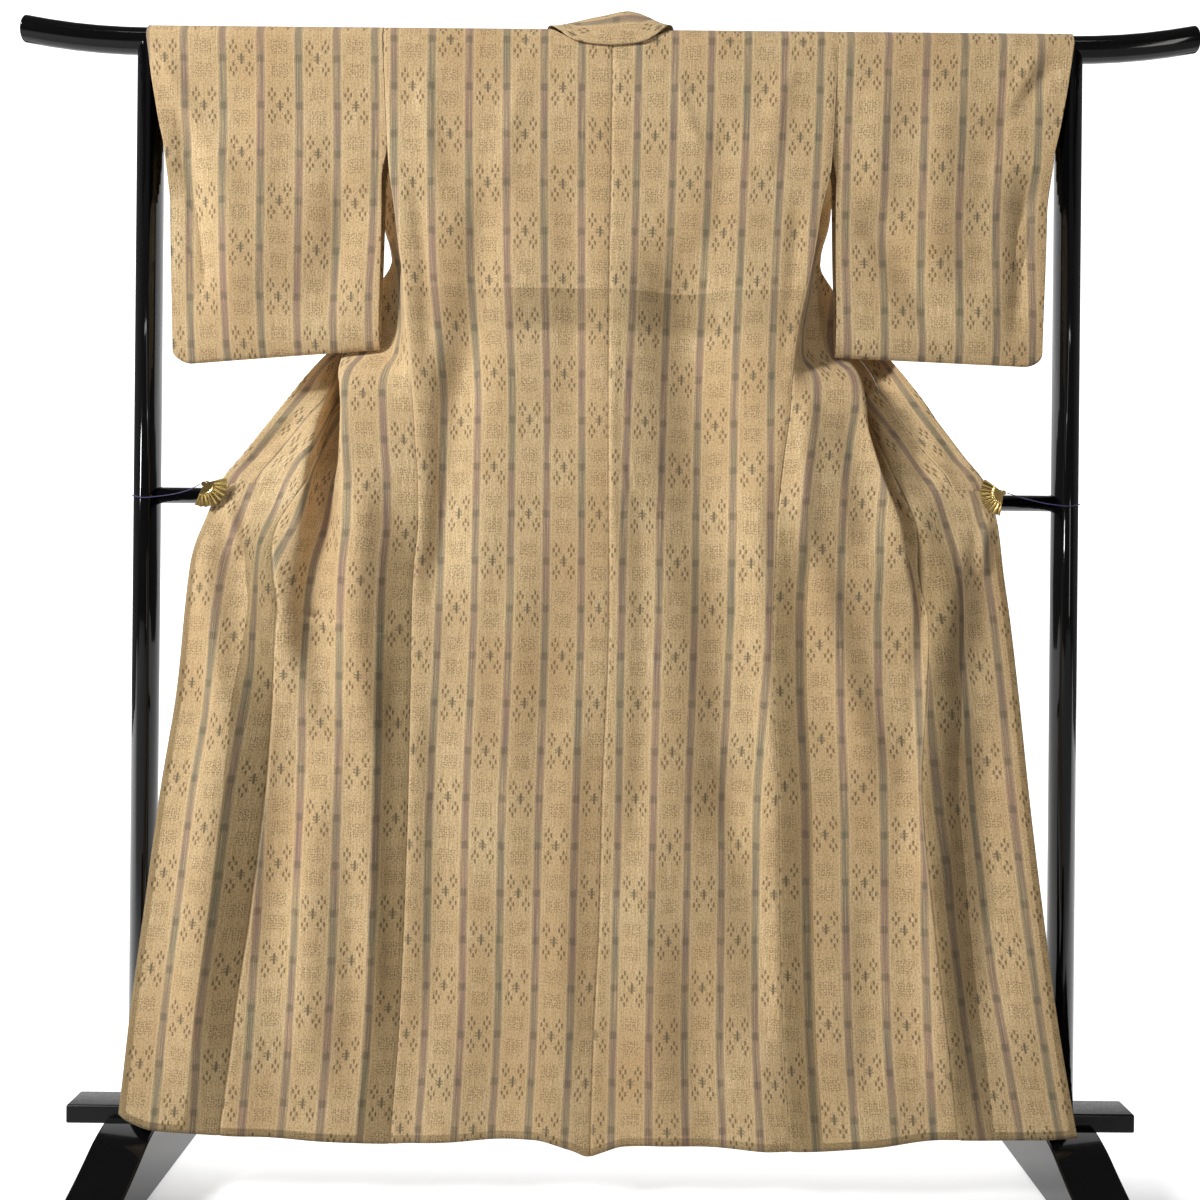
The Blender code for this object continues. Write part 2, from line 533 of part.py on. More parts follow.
def top_rail(collection, colour):
    half = [(x, 0.0, RAIL_HEIGHT + rise) for x, rise in RAIL_BENDS]
    ends = through(half, 9)
    points = [(-x, y, z) for x, y, z in ends[::-1]] + [tuple(p) for p in ends]
    rod(collection, "top_rail", points, ROD_RADIUS, colour)


def foot(collection, name, sign, colour):
    """An arched block across the stand, with a notch in its top for the base board."""
    notch = BOARD_DEPTH / 2 + JOINT_GAP
    floor = BOARD_UNDER - JOINT_GAP
    half = [(notch, floor), (notch, FOOT_TOP[0][1])] + list(FOOT_TOP[1:]) + list(FOOT_UNDER)
    outline = half + [(-y, z) for y, z in half[::-1]]
    obj = outline_plate(collection, name, outline, FOOT_WIDTH, colour)
    obj.rotation_euler = (math.pi / 2, 0.0, math.pi / 2)
    obj.location = (sign * POST_X, 0.0, 0.0)


def stand(collection, cutters):
    gloss = material("black_lacquer", (0.008, 0.008, 0.009), 0.15)
    rail_cutter = as_cutter(cylinder(cutters, "rail_cutter", ROD_RADIUS + JOINT_GAP,
                                     (-0.9, 0, RAIL_HEIGHT), (0.9, 0, RAIL_HEIGHT), sides=32))
    top_rail(collection, gloss)
    board_top = BOARD_UNDER + BOARD_THICK
    middle = cylinder(collection, "middle_rail", MIDDLE_RADIUS, (-POST_X, 0, MIDDLE_HEIGHT),
                      (POST_X, 0, MIDDLE_HEIGHT), gloss)
    for name, sign, _ in SIDES:
        x = sign * POST_X
        post = cylinder(collection, "post_" + name, ROD_RADIUS, (x, 0, board_top + JOINT_GAP),
                        (x, 0, POST_TOP), gloss)
        cope(post, rail_cutter)
        cope(middle, as_cutter(cylinder(cutters, "post_cutter_" + name, ROD_RADIUS + JOINT_GAP,
                                        (x, 0, 0.5), (x, 0, 1.2), sides=32)))
        foot(collection, "foot_" + name, sign, gloss)
    satin = material("satin_lacquer", (0.015, 0.015, 0.016), 0.4)
    box(collection, "base_board", (0, 0, BOARD_UNDER + BOARD_THICK / 2),
        (2 * BOARD_HALF_LENGTH, BOARD_DEPTH, BOARD_THICK), satin, 0.0015)


# ---------------------------------------------------------------- clips
def turned_sector(collection, name, pivot, start, end, radius, thickness, y, colour):
    """A flat sector plate across the depth, from a small round at the pivot."""
    angles = np.radians(np.linspace(start, end, 9))
    small = np.radians(np.linspace(end + BOSS_TURN, start - BOSS_TURN + 360, 5))
    outline = [(radius * math.cos(a), radius * math.sin(a)) for a in angles]
    outline += [(BOSS_RADIUS * math.cos(a), BOSS_RADIUS * math.sin(a)) for a in small]
    obj = outline_plate(collection, name, outline, thickness, colour)
    obj.rotation_euler = (math.pi / 2, 0.0, 0.0)
    obj.location = (pivot[0], y, pivot[1])
    return obj


def fan_clip(collection, name, front, brass):
    """A pleated fan in front of the cloth and a plain jaw behind it, on one pin beside the cloth's edge."""
    pivot_x, pivot_z, middle, spread = FANS[name]
    cloth_y = front.value("edge_y", pivot_z)
    face = cloth_y - FAN_STAND_OFF
    start, end = middle - spread / 2, middle + spread / 2
    angles = np.radians(np.linspace(start, end, 2 * FAN_PLEATS + 1))
    zigzag = PLEAT_DEPTH * (np.arange(len(angles)) % 2)
    grid = []
    for radius in (PIN_RADIUS + JOINT_GAP, FAN_RADIUS):
        depth = zigzag * radius / FAN_RADIUS
        grid.append(np.stack([pivot_x + radius * np.cos(angles), face + depth,
                              pivot_z + radius * np.sin(angles)], axis=1))
    fan = cloth(collection, "clip_fan_" + name, np.array(grid), brass)
    fan.modifiers["Wall"].thickness = PLATE
    jaw_y = cloth_y + JAW_STAND_OFF
    turned_sector(collection, "clip_jaw_" + name, (pivot_x, pivot_z), start + JAW_INSET, end - JAW_INSET,
                  JAW_RADIUS, PLATE, jaw_y, brass)
    near, far = face - PLATE, jaw_y - PLATE / 2 - JOINT_GAP
    pin = cylinder(collection, "clip_pin_" + name, PIN_RADIUS, (0, 0, near), (0, 0, far), brass, 12)
    pin.location = (pivot_x, (near + far) / 2, pivot_z)
    pin.rotation_euler = (math.pi / 2, 0.0, 0.0)


def clip_cord(collection, name, sign, front, purple):
    """A thin cord from the clip's pin, in front of the middle rail and once round the post."""
    pivot_x, pivot_z = FANS[name][:2]
    start_y = front.value("edge_y", pivot_z) - FAN_STAND_OFF
    round_post = (ROD_RADIUS + CORD_RADIUS + 3 * JOINT_GAP) / math.cos(math.radians(15))
    route = [(abs(pivot_x) + PIN_RADIUS + 2 * CORD_RADIUS, start_y, pivot_z), *CORD_TO_POST]
    for degrees in range(-90, 91, 30):
        angle = math.radians(degrees)
        route.append((POST_X + round_post * math.cos(angle), round_post * math.sin(angle),
                      CORD_AT_POST + CORD_SAG * math.cos(angle)))
    points = through(route + list(CORD_END), 40) * np.array([sign, 1, 1])
    rod(collection, "clip_cord_" + name, points, CORD_RADIUS, purple, sides=1)


def main():
    clear_scene()
    collection = new_collection("silk_kimono")
    cutters = new_collection("cutters")
    silk = material("silk", (0.55, 0.41, 0.24), 0.75)
    fronts = [(name, sign, Front(sign, rows)) for name, sign, rows in SIDES]
    for name, sign, front in fronts:
        wall(collection, "body_" + name, *body_grid(front, 13), silk)
        wall(collection, "okumi_" + name, *okumi_grid(front, 5), silk)
        cloth(collection, "sleeve_" + name, sleeve_grid(name, sign, 6, 10), silk, ring=True)
    wall(collection, "collar", *collar_grid(fronts, 4), silk)
    stand(collection, cutters)
    brass = material("aged_brass", (0.50, 0.36, 0.15), 0.35, 1.0)
    purple = material("purple_cord", (0.05, 0.03, 0.11), 0.8)
    for name, sign, front in fronts:
        fan_clip(collection, name, front, brass)
        clip_cord(collection, name, sign, front, purple)


main()
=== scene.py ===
"""Looks of a silk kimono that hangs over a black lacquered stand, with its back to the viewer.

Cloth pieces repeat the frame's tables at a finer step, and add seams, small folds and the woven pattern.
+X runs to the right along the rail, -Y is the side that the back faces, +Z is up, sizes are in metres.
"""
import math

import bpy
import numpy as np
from bpy.props import FloatProperty, IntProperty, PointerProperty, StringProperty
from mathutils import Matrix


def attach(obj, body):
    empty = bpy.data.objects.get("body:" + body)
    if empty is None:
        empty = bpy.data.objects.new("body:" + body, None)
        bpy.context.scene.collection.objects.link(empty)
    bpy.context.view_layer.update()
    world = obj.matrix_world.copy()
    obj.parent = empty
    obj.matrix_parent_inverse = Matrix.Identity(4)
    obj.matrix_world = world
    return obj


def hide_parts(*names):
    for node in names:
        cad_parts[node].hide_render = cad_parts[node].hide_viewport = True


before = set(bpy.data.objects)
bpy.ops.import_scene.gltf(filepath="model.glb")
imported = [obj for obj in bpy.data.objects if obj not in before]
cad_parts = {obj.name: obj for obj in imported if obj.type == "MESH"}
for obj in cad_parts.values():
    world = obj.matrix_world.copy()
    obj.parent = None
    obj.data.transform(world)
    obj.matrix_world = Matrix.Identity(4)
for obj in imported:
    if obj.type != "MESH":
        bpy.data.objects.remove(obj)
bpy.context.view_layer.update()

bl_info = {
    "name": "Kimono on a Stand",
    "version": (1, 0, 0),
    "blender": (4, 5, 0),
    "location": "View3D > Sidebar > Kimono",
    "description": "Builds a silk kimono's cloth, its lacquered stand, the fan clips and a plain studio",
    "category": "Add Mesh",
}


def metres(*rows):
    """Rows written in millimetres, as an array in metres."""
    return np.array(rows) / 1000


# ---- the stand's sizes, as in the frame
ROD_RADIUS = 0.0185
RAIL_HEIGHT = 1.595
RAIL_BENDS = ((0.665, 0.0), (0.72, 0.003), (0.77, 0.0085), (0.819, 0.0165))  # x, rise there
POST_X = 0.642
POST_TOP = 1.588
MIDDLE_RADIUS = 0.0115
MIDDLE_HEIGHT = 0.96
BOARD_HALF_LENGTH = 0.738
BOARD_DEPTH = 0.052
BOARD_UNDER = 0.0896
BOARD_THICK = 0.0257
FOOT_WIDTH = 0.075
FOOT_TOP = ((0.028, 0.1), (0.046, 0.097), (0.077, 0.089), (0.1125, 0.074), (0.142, 0.062),
            (0.169, 0.052), (0.205, 0.037), (0.228, 0.024), (0.24, 0.01))        # depth, height
FOOT_UNDER = ((0.24, 0.0), (0.185, 0.0), (0.175, 0.01))
JOINT_GAP = 0.0003
CAP_SHARES = (1.0, 0.985, 0.96, 0.92, 0.86, 0.78, 0.67, 0.5, 0.34, 0.17)  # rings that close a bar

# ---- the cloth's sizes, as in the frame
SHOULDER = 1.6                      # the tables' top row
COLLAR_WIDTH = 0.05
NECK_RISE = (0.03, 0.042, 0.012, 1.6, 0.025)  # collar stands up: x, half width, height, from z, over
OVER_RAIL = ROD_RADIUS + 0.002      # radius of the cloth's middle over the rail
NECK_LOW = 1.588                    # bottom of the back neckline
WRIST_LOW = 1.395                   # the wrist opening runs from the shoulder down to here
WRIST_FADE = (0.03, 0.05)           # the layers close from this far above it, over this height
WRIST_ACROSS = 0.72                 # and only over the sleeve's outer part from here
SEWN_DEPTH = 0.0006                 # half the distance between the middles of a sleeve's sewn layers
BOTTOM_ROUND = 0.02                 # height over which the sleeve's layers part above its bottom fold
SIDE_TURN = 1.1                     # from here up the side seam's layers turn apart
BACK_FOLDS = dict(top=1.5, fade=1.4, depth=0.004, pitch=0.145, shift=0.2, turn=2.1, flat_edge=0.03)

# Centre back seam and depth of the back, by height.
BACK = dict(
    z=(0.06, 0.15, 0.25, 0.4, 0.55, 0.8, 0.97, 1.1, 1.25, 1.42, 1.6),
    seam=(-0.015, -0.013, -0.01, -0.004, -0.002, 0.005, 0.003, 0.0015, 0.001, 0.0025, 0.003),
    y=(-0.066, -0.066, -0.066, -0.066, -0.066, -0.063, -0.06, -0.05, -0.035, -0.026, -0.0205),
)

# Height of the hem, by distance from the centre. The left and right sides sag unevenly.
HEM = dict(
    x=(-0.65, -0.635, -0.6, -0.51, -0.38, -0.28, -0.2, -0.09, -0.04, -0.015, 0.0,
       0.033, 0.07, 0.175, 0.26, 0.36, 0.48, 0.59, 0.645),
    z=(0.124, 0.112, 0.1, 0.0955, 0.088, 0.083, 0.087, 0.0905, 0.077, 0.067, 0.071,
       0.0815, 0.0845, 0.08, 0.077, 0.085, 0.098, 0.0985, 0.102),
)

# One row a height, x counted outwards from the centre: the side seam, the ridge where the front turns
# into its deep fold, the bottom of that fold, the ridge where it comes out, and the free front edge.
# okumi is the width of cloth from the free edge back to the okumi seam. Rows are in millimetres.
FOLD_COLUMNS = ("z", "side", "side_y", "ridge", "ridge_y", "valley", "valley_y", "fold", "fold_y",
                "edge", "edge_y", "okumi")
FOLDS_LEFT = metres(
    (1600, 315, 20.5, 270, 21.5, 215, 22.5, 150, 22.5, 45, 22.5, 50),
    (1540, 312, 20, 262, 36, 210, 30, 150, 38, 85, 30, 50),
    (1480, 309, 19, 304, 40, 228, 26, 180, 52, 135, 38, 50),
    (1420, 305, 15, 325, 42, 235, 14, 212, 56, 180, 48, 50),
    (1360, 296.5, 4, 325, 42, 232, 10, 210, 50, 225, 70, 50),
    (1300, 288.5, -12, 312, 36, 222, 14, 226, 58, 271, 75, 62),
    (1260, 282, -33, 335, 34, 234, 30, 250, 70, 318, 68, 72),
    (1200, 276.5, -40, 350, 28, 290, 62, 322, 82, 368, 45, 90),
    (1165, 272.5, -42, 377, 17, 325, 72, 358, 78, 395, 18, 98),
    (1135, 269, -46, 375, -16, 362, 85, 384, 50, 416.5, 0, 106),
    (1110, 266.3, -49, 368, -36, 380, 70, 391, 20, 435, -6, 110),
    (1080, 263.5, -51, 362, -48, 383, 48, 396, -14, 457, -10, 115),
    (1020, 258.5, -56, 358, -60, 388, 10, 405, -46, 502, -16, 126),
    (980, 255, -58, 356.5, -62, 390, -14, 409, -56, 532, -20, 132),
    (920, 254, -61, 355, -64, 389, -30, 415, -61, 553, -26, 113),
    (860, 259, -62, 353, -66, 390, -44, 425, -64, 568.5, -34, 127),
    (800, 261, -63, 352, -67, 393, -53, 432, -66, 574, -42, 138),
    (700, 261.5, -65, 352, -69, 397, -60, 440, -68, 581, -50, 133),
    (550, 263, -66, 355, -70, 402, -64, 452, -70, 600.5, -60, 142),
    (400, 266.5, -66, 360, -71, 412, -67, 465, -72, 617.5, -66, 143),
    (250, 272, -66, 370, -72, 425, -69, 480, -74, 635, -70, 143),
    (100, 283, -66, 380, -73, 440, -70, 500, -75, 648, -72, 136),
)
FOLDS_RIGHT = metres(
    (1600, 316.7, 20.5, 270, 21.5, 215, 22.5, 150, 22.5, 45, 22.5, 50),
    (1540, 313.7, 20, 262, 36, 210, 30, 150, 38, 85, 30, 50),
    (1480, 310.8, 19, 304, 40, 228, 26, 180, 52, 135, 38, 50),
    (1420, 307, 15, 325, 42, 235, 14, 212, 56, 180, 48, 50),
    (1360, 293.5, 4, 319, 42, 232, 10, 210, 50, 224, 70, 50),
    (1300, 284, -12, 306, 36, 218, 14, 222, 58, 267.5, 75, 62),
    (1260, 276, -33, 326, 34, 230, 30, 246, 70, 315, 68, 72),
    (1200, 262.5, -40, 332, 28, 300, 60, 340, 75, 370, 45, 84),
    (1165, 257, -42, 343, 17, 325, 60, 362, 58, 395.7, 14, 98),
    (1135, 253.5, -46, 350, -22, 330, 55, 374, 40, 417, 0, 100),
    (1110, 251.2, -49, 354, -42, 336, 50, 380, 18, 435, -6, 100),
    (1080, 249, -51, 358, -52, 343, 40, 382, -4, 456.5, -10, 102),
    (1020, 240.5, -56, 373, -60, 360, 8, 394, -20, 499.3, -16, 114),
    (980, 235.5, -58, 385, -63, 374, -18, 406, -32, 527.7, -20, 126),
    (920, 231, -61, 405, -66, 402, -34, 428, -48, 542, -26, 121),
    (860, 229, -62, 412, -67, 420, -50, 444, -56, 547, -34, 125),
    (800, 226.5, -63, 418, -68, 432, -56, 455, -61, 553.5, -42, 120),
    (700, 228, -65, 400, -69, 425, -62, 452, -66, 563.5, -50, 132),
    (550, 236, -66, 380, -70, 415, -64, 455, -70, 577.5, -60, 149),
    (400, 239, -66, 375, -71, 415, -67, 462, -72, 595, -66, 151),
    (250, 244, -66, 375, -72, 425, -69, 478, -74, 615.5, -70, 154),
    (100, 256, -66, 380, -73, 440, -70, 495, -75, 641.5, -72, 161),
)
FOLD_HALF = 0.009          # half the width of the fold's rounded bottom
# Halfway from the fold to the free edge: the share of the fold's depth left there, and an extra rise.
TURN = dict(z=(0.1, 1.05, 1.165, 1.45, 1.6), share=(0.2, 0.2, 0.5, 0.5, 0.5),
            rise=(0.0, 0.0, 0.01, 0.002, 0.0))
# Just outside the side seam the front turns inwards: its share of the way to the ridge, across and in depth.
IN_ACROSS = 0.25
IN_DEEP = dict(z=(1.05, 1.165, 1.36, 1.45), share=(0.25, 0.7, 0.7, 0.25))
ROUNDING = 8               # the section's points are averaged over this many each way
STEP = 0.004               # distance along the cloth over which its direction is read
KENSAKI = 1.345            # top point of the okumi
HEM_LEVEL = 0.1            # the last fold row; the hem itself follows HEM
HEM_FADE = 0.32            # above this height the rows are level
CLIP_LEVEL = 0.976         # the collar ends at the clips
# Heights of the front's rows, close together where its fold turns. Seams share them.
LEVELS = (1.57, 1.54, 1.5, 1.46, 1.42, 1.38, 1.34, 1.3, 1.27, 1.24, 1.21, 1.185, 1.165, 1.15, 1.135,
          1.11, 1.08, 1.05, 1.02, 1.0, 0.976, 0.95, 0.92, 0.86, 0.8, 0.7, 0.55, 0.4, 0.25, 0.16, 0.1)

# Collar at the neck, centre back to the shoulder, in millimetres: seam x, y, z, then free edge x, y, z.
NECK = metres(
    (0, -23.5, 1586, 0, -6, 1629), (26, -23.5, 1588, 20, -6, 1629),
    (50, -24.5, 1593, 36, -4, 1628), (76, -19.5, 1611.5, 50, 0, 1626.5),
    (87, 0, 1620.5, 51, 8, 1623), (92.5, 20.5, 1610.5, 48, 20, 1612),
)
NECK_BULGE = 0.0065        # the collar rolls out over the rail at the back of the neck
BULGE_REACH = 0.08         # as far as this from the centre
BULGE_WAY = (0, -0.92, 0.39)
# Angle round the rail, and where the body's neck edge is. Behind the rail the edge comes nearer the centre.
NECK_TO_SHOULDER = ((-90, 0.053), (-60, 0.071), (-30, 0.0825), (0, 0.0895), (30, 0.0935),
                    (60, 0.096), (90, 0.097))
NECK_NARROWS = 0.008       # by this much a degree
NECK_SINKS = 0.0024 / 5    # and the cloth sinks by this much a degree

# Sleeve outline by height: the inner edge, the outer edge, and half the depth between the layers.
SLEEVE = dict(
    z=(1.145, 1.16, 1.2, 1.3, 1.395, 1.432, 1.48, 1.54, 1.6),
    inner=(0.3185, 0.3185, 0.3185, 0.316, 0.315, 0.315, 0.315, 0.3165, 0.319),
    outer=(0.602, 0.6085, 0.6095, 0.6125, 0.6145, 0.616, 0.625, 0.635, 0.643),
    depth=(0.0045, 0.006, 0.0095, 0.014, 0.0175, 0.0185, 0.0195, 0.0203, 0.0205),
)
SLEEVE_CORNER = (0.075, 0.021)  # the outer bottom corner is rounded over this share across, to this height
SLEEVE_BOTTOM = dict(left=(1.1665, 1.143), right=(1.1615, 1.15))    # at the inner edge, at the outer

# ---- the clips' sizes, as in the frame
FAN_RADIUS = 0.032
FAN_STAND_OFF = 0.012      # how far the fan's face stands in front of the cloth's middle
FAN_PLATE = 0.0009
FAN_PLEATS = 9
PLEAT_DEPTH = 0.0016
PLEATS_FROM = (0.44, 0.56)          # shares of the radius over which the pleats grow out of the hub
SCALLOP = 0.035                     # share of the radius cut away between two pleats' ends
HUB_LIP, HUB_BOWL = 0.0007, 0.0011  # height of the ring round the hub, and depth of the hub
FAN_SHARES = (0.12, 0.2, 0.3, 0.40, 0.43, 0.46, 0.49, 0.52, 0.6, 0.7, 0.8, 0.9, 0.96, 1.0)
FANS = {  # pivot x, z, middle angle of the fan, its spread
    "left": (-0.553, 0.9735, -48.0, 130.0),
    "right": (0.546, 0.9715, -157.0, 118.0),
}
PIN_RADIUS = 0.0035
CORD_RADIUS = 0.0006
CORD_TWISTED = 0.0007      # over both strands
STRAND_SHARE = 0.22        # share of the radius by which the groove between the strands is lower
CORD_AT_POST = 0.955
CORD_SAG = 0.004
CORD_TO_POST = ((0.58, -0.026, 0.964), (0.61, -0.0225, 0.958))      # x outwards, y, z
CORD_END = ((0.624, 0.018, 0.953), (0.612, 0.014, 0.96), (0.604, 0.01, 0.97))

# ---- finer steps and sewing, seen close to
SLEEVE_JOIN = 1.432         # the sleeve is sewn to the body from the shoulder down to here
CLOTH = 0.0008              # thickness of one layer of the silk
ROW_STEP = 0.006
UNDERLAP = 0.007            # width of the seam allowance that lies behind the neighbour
UNDER_DEPTH = 0.0014        # how far behind it lies
EDGE_COLUMNS = (0.0, 0.0012, 0.003, 0.006)     # extra columns at both edges of a length of cloth
OPEN_SIDE = 1.3             # above here the back and the front aren't sewn together at the side
LAP_INSET = 0.0003
SEAM_DIP = 0.0012           # the cloth rolls in at a seam by this much
SEAM_ROLL = 0.003
SEAM_FLAT = 0.035           # folds die out over this much beside the side seam
STRIP_WIDTH = dict(body=0.047, okumi=0.05)     # second layer behind the side seam and the okumi seam, drawn only as painted shade on the silk
HEM_TURN = 0.011            # turned-in hem
EDGE_TURN = 0.009           # turned-in edge of the okumi
TUCK = (1.183, 1.247, 0.275)     # waist tuck inside the back: lower edge, upper edge, reach from the centre
# How strongly the painted shade of the doubled tuck shows across the back, and over which heights its lower
# edge fades.
TUCK_PRESS = dict(x=(-0.28, -0.19, -0.15, -0.12, -0.05, 0.0, 0.028, 0.045, 0.13, 0.16, 0.28),
                  share=(0.4, 0.35, 0.35, 1.0, 1.0, 0.35, 0.35, 1.0, 1.0, 0.5, 0.4))
TUCK_FADE = (1.176, 1.205)
STRIP_PRESS = 1.35          # how strongly the painted shade of the strips at the seams shows, beside the tuck
STRIP_FADE = (0.86, 0.98)   # the strips' painted shade shows from the higher level down
NO_SEAM = 0.01              # a distance from a seam past which none shows
CREASE_FADE = (1.16, 1.06)  # the fronts' small folds grow in from the first level down to the second

# The pattern's cell, stripe to stripe and figure to figure along the cloth, and one figure along a sleeve.
CELL_MM = (52.6, 66.5)
CELL = metres(*CELL_MM)
SLEEVE_CELL = 0.0655
# Where the back's first and fifth stripes run, as distances from the middle, by height.
STRIPE_HEIGHTS = (0.09, 0.25, 0.5, 0.82, 1.07, 1.3, 1.47, 1.6)
STRIPES = dict(
    left=dict(z=STRIPE_HEIGHTS, first=(0.049, 0.042, 0.038, 0.0325, 0.034, 0.037, 0.0385, 0.039),
              fifth=(0.247, 0.238, 0.236, 0.2245, 0.223, 0.2425, 0.246, 0.247)),
    right=dict(z=STRIPE_HEIGHTS, first=(0.0145, 0.0165, 0.02, 0.0225, 0.028, 0.036, 0.0385, 0.04),
               fifth=(0.217, 0.208, 0.208, 0.222, 0.223, 0.231, 0.239, 0.242)),
)
SLEEVE_HEIGHTS = (1.15, 1.22, 1.34, 1.46, 1.62)
SLEEVE_STRIPES = dict(
    left=dict(z=SLEEVE_HEIGHTS, first=(0.332, 0.333, 0.3275, 0.3245, 0.3265),
              fifth=(0.531, 0.5335, 0.5345, 0.5345, 0.5385)),
    right=dict(z=SLEEVE_HEIGHTS, first=(0.336, 0.333, 0.3285, 0.33, 0.334),
               fifth=(0.543, 0.542, 0.5385, 0.541, 0.545)),
)
# Levels of the figures along the back, counted down from the first row of crosses.
BACK_LEVELS = dict(z=(0.05, 0.8708, 1.1277, 1.527, 1.66), level=(22.84, 10.0, 6.0, 0.0, -2.0))
SLEEVE_LEVEL = dict(left=(1.499, 1), right=(1.487, 1))       # height of one row of crosses, parity there
SIDE_STRIPE = 6             # the front's stripes are counted from the side seam on
FRONT_PHASE = dict(left=(0.8, 0.55), right=(0.68, 0.3))      # stripes from the side seam, level shift
OKUMI_PHASE = dict(left=(0.9, 0.35), right=(0.45, 0.85))
COLLAR_PHASE = (0.35, 0.3)

# Small folds as the cloth hangs, in millimetres: from x, z to x, z, half width, height.
BACK_CREASES = metres(
    (88, 1340, 140, 860, 56, -30), (125, 980, 190, 460, 50, -24), (165, 620, 240, 180, 40, -16),
    (205, 1050, 245, 660, 26, 8), (180, 800, 225, 400, 22, 6), (-170, 1420, -208, 1050, 28, -10),
    (-200, 1200, -252, 780, 30, -15), (40, 1050, 40, 400, 16, -5), (-105, 950, -122, 350, 32, 7),
    (-235, 720, -225, 180, 30, -9), (-30, 750, -45, 120, 22, 5), (-155, 980, -170, 550, 22, 5),
    (20, 1030, 38, 950, 2.2, -1.8), (12, 1200, 20, 800, 6, 2), (60, 550, 75, 120, 26, 5),
    (110, 400, 125, 100, 24, -5), (88, 1560, 130, 1430, 6, 3), (250, 1570, 215, 1400, 14, 4),
    (-255, 1570, -235, 1360, 14, 4), (-272, 1420, -250, 1100, 12, -5), (262, 1400, 236, 1060, 12, -5.5),
    (-120, 1560, -150, 1360, 16, 3.6), (160, 1500, 140, 1280, 18, -4), (-60, 1450, -50, 1000, 22, -3.4),
    (-240, 1247.5, 270, 1245.5, 1.8, -1.4), (-200, 1183, 260, 1183, 2, 1.4), (-210, 970, 200, 972, 10, 1.6),
)
FRONT_CREASES = metres(
    (-430, 803, -352, 785, 3.5, -4), (-425, 797, -350, 775, 6, 3.4), (-312, 772, -262, 775, 4, 3.4),
    (-520, 955, -497, 870, 9, 7), (-510, 985, -420, 1075, 10, -5), (-485, 985, -400, 1020, 8, 4.2),
    (-325, 1020, -325, 600, 24, 13), (-475, 970, -385, 620, 24, 13), (-550, 950, -505, 620, 26, 14),
    (-500, 740, -540, 100, 36, 19), (-445, 780, -460, 250, 34, -13), (-305, 800, -300, 200, 22, 8),
    (-380, 600, -392, 150, 24, 9), (-340, 500, -345, 120, 18, -5), (527, 940, 512, 850, 9, 7),
    (500, 1000, 445, 1100, 10, -5), (480, 985, 430, 1030, 8, 4.4), (262, 1140, 275, 840, 22, 12),
    (325, 1100, 360, 860, 28, -12), (275, 920, 375, 550, 28, 13), (505, 950, 425, 660, 26, 14),
    (445, 740, 440, 400, 34, 18), (442, 540, 472, 120, 32, 16), (500, 700, 525, 200, 30, -11),
    (415, 1120, 450, 960, 20, -8), (350, 450, 360, 120, 24, -7),
)
SLEEVE_CREASES = metres(
    (630, 1585, 520, 1460, 14, -4.4), (600, 1600, 545, 1470, 12, 4), (585, 1420, 566, 1160, 10, -4),
    (600, 1400, 590, 1170, 7, 3.4), (345, 1380, 470, 1190, 28, -9), (575, 1440, 580, 1180, 22, -8),
    (470, 1560, 450, 1200, 26, 5), (380, 1570, 372, 1350, 20, 4), (520, 1500, 510, 1220, 24, -4),
    (-598, 1520, -570, 1200, 18, -9), (-545, 1470, -500, 1200, 34, 8), (-350, 1400, -420, 1200, 34, -7),
    (-625, 1580, -560, 1450, 14, 4), (-480, 1560, -470, 1220, 22, 3.6), (-390, 1500, -380, 1180, 20, -3),
)
SLEEVE_MIRROR = 0.96       # the sleeve's front has its back's folds turned round, about half of this


# ---- curves through a table
def smooth(at, knots, values):
    """A cubic between each two knots whose slopes are the harmonic mean of the steps beside them."""
    knots = np.asarray(knots, float)
    values = np.asarray(values, float)
    steps = np.diff(knots)
    rises = np.diff(values) / steps
    slopes = np.zeros(len(knots))
    same = rises[1:] * rises[:-1] > 0
    slopes[1:-1][same] = 2 * rises[1:][same] * rises[:-1][same] / (rises[1:] + rises[:-1])[same]
    slopes[0] = rises[0]
    slopes[-1] = rises[-1]
    at = np.clip(np.asarray(at, float), knots[0], knots[-1])
    i = np.clip(np.searchsorted(knots, at, side="right") - 1, 0, len(steps) - 1)
    t = (at - knots[i]) / steps[i]
    low = values[i] * (1 + 2 * t) * (1 - t) ** 2 + slopes[i] * steps[i] * t * (1 - t) ** 2
    high = values[i + 1] * t * t * (3 - 2 * t) + slopes[i + 1] * steps[i] * t * t * (t - 1)
    return low + high


def step_between(low, high, at):
    """0 below low, 1 above high, and 3t^2 - 2t^3 between them."""
    t = np.clip((np.asarray(at, float) - low) / (high - low), 0, 1)
    return t * t * (3 - 2 * t)


def along_line(line):
    """Distance of each point of a line from its start, along it."""
    return np.concatenate([[0], np.cumsum(np.linalg.norm(np.diff(line, axis=0), axis=1))])


def read_line(at, length, line):
    """Points of a line at these distances from its start."""
    return np.stack([np.interp(at, length, column) for column in line.T], axis=1)


def through(points, count):
    """The cubic line through the points, read at even steps of its length."""
    points = np.asarray(points, float)
    reach = along_line(points)
    fine = np.linspace(0, reach[-1], 400)
    line = np.stack([smooth(fine, reach, column) for column in points.T], axis=1)
    length = along_line(line)
    return read_line(np.linspace(0, length[-1], count), length, line)


def back_ripple(x, z):
    """A sine across the back whose depth grows downwards from the shoulder."""
    reach = np.clip((BACK_FOLDS["top"] - z) / BACK_FOLDS["fade"], 0, 1)
    wave = np.sin(2 * math.pi * (x / BACK_FOLDS["pitch"] + BACK_FOLDS["shift"]))
    return BACK_FOLDS["depth"] * reach * wave * np.cos(BACK_FOLDS["turn"] * z)


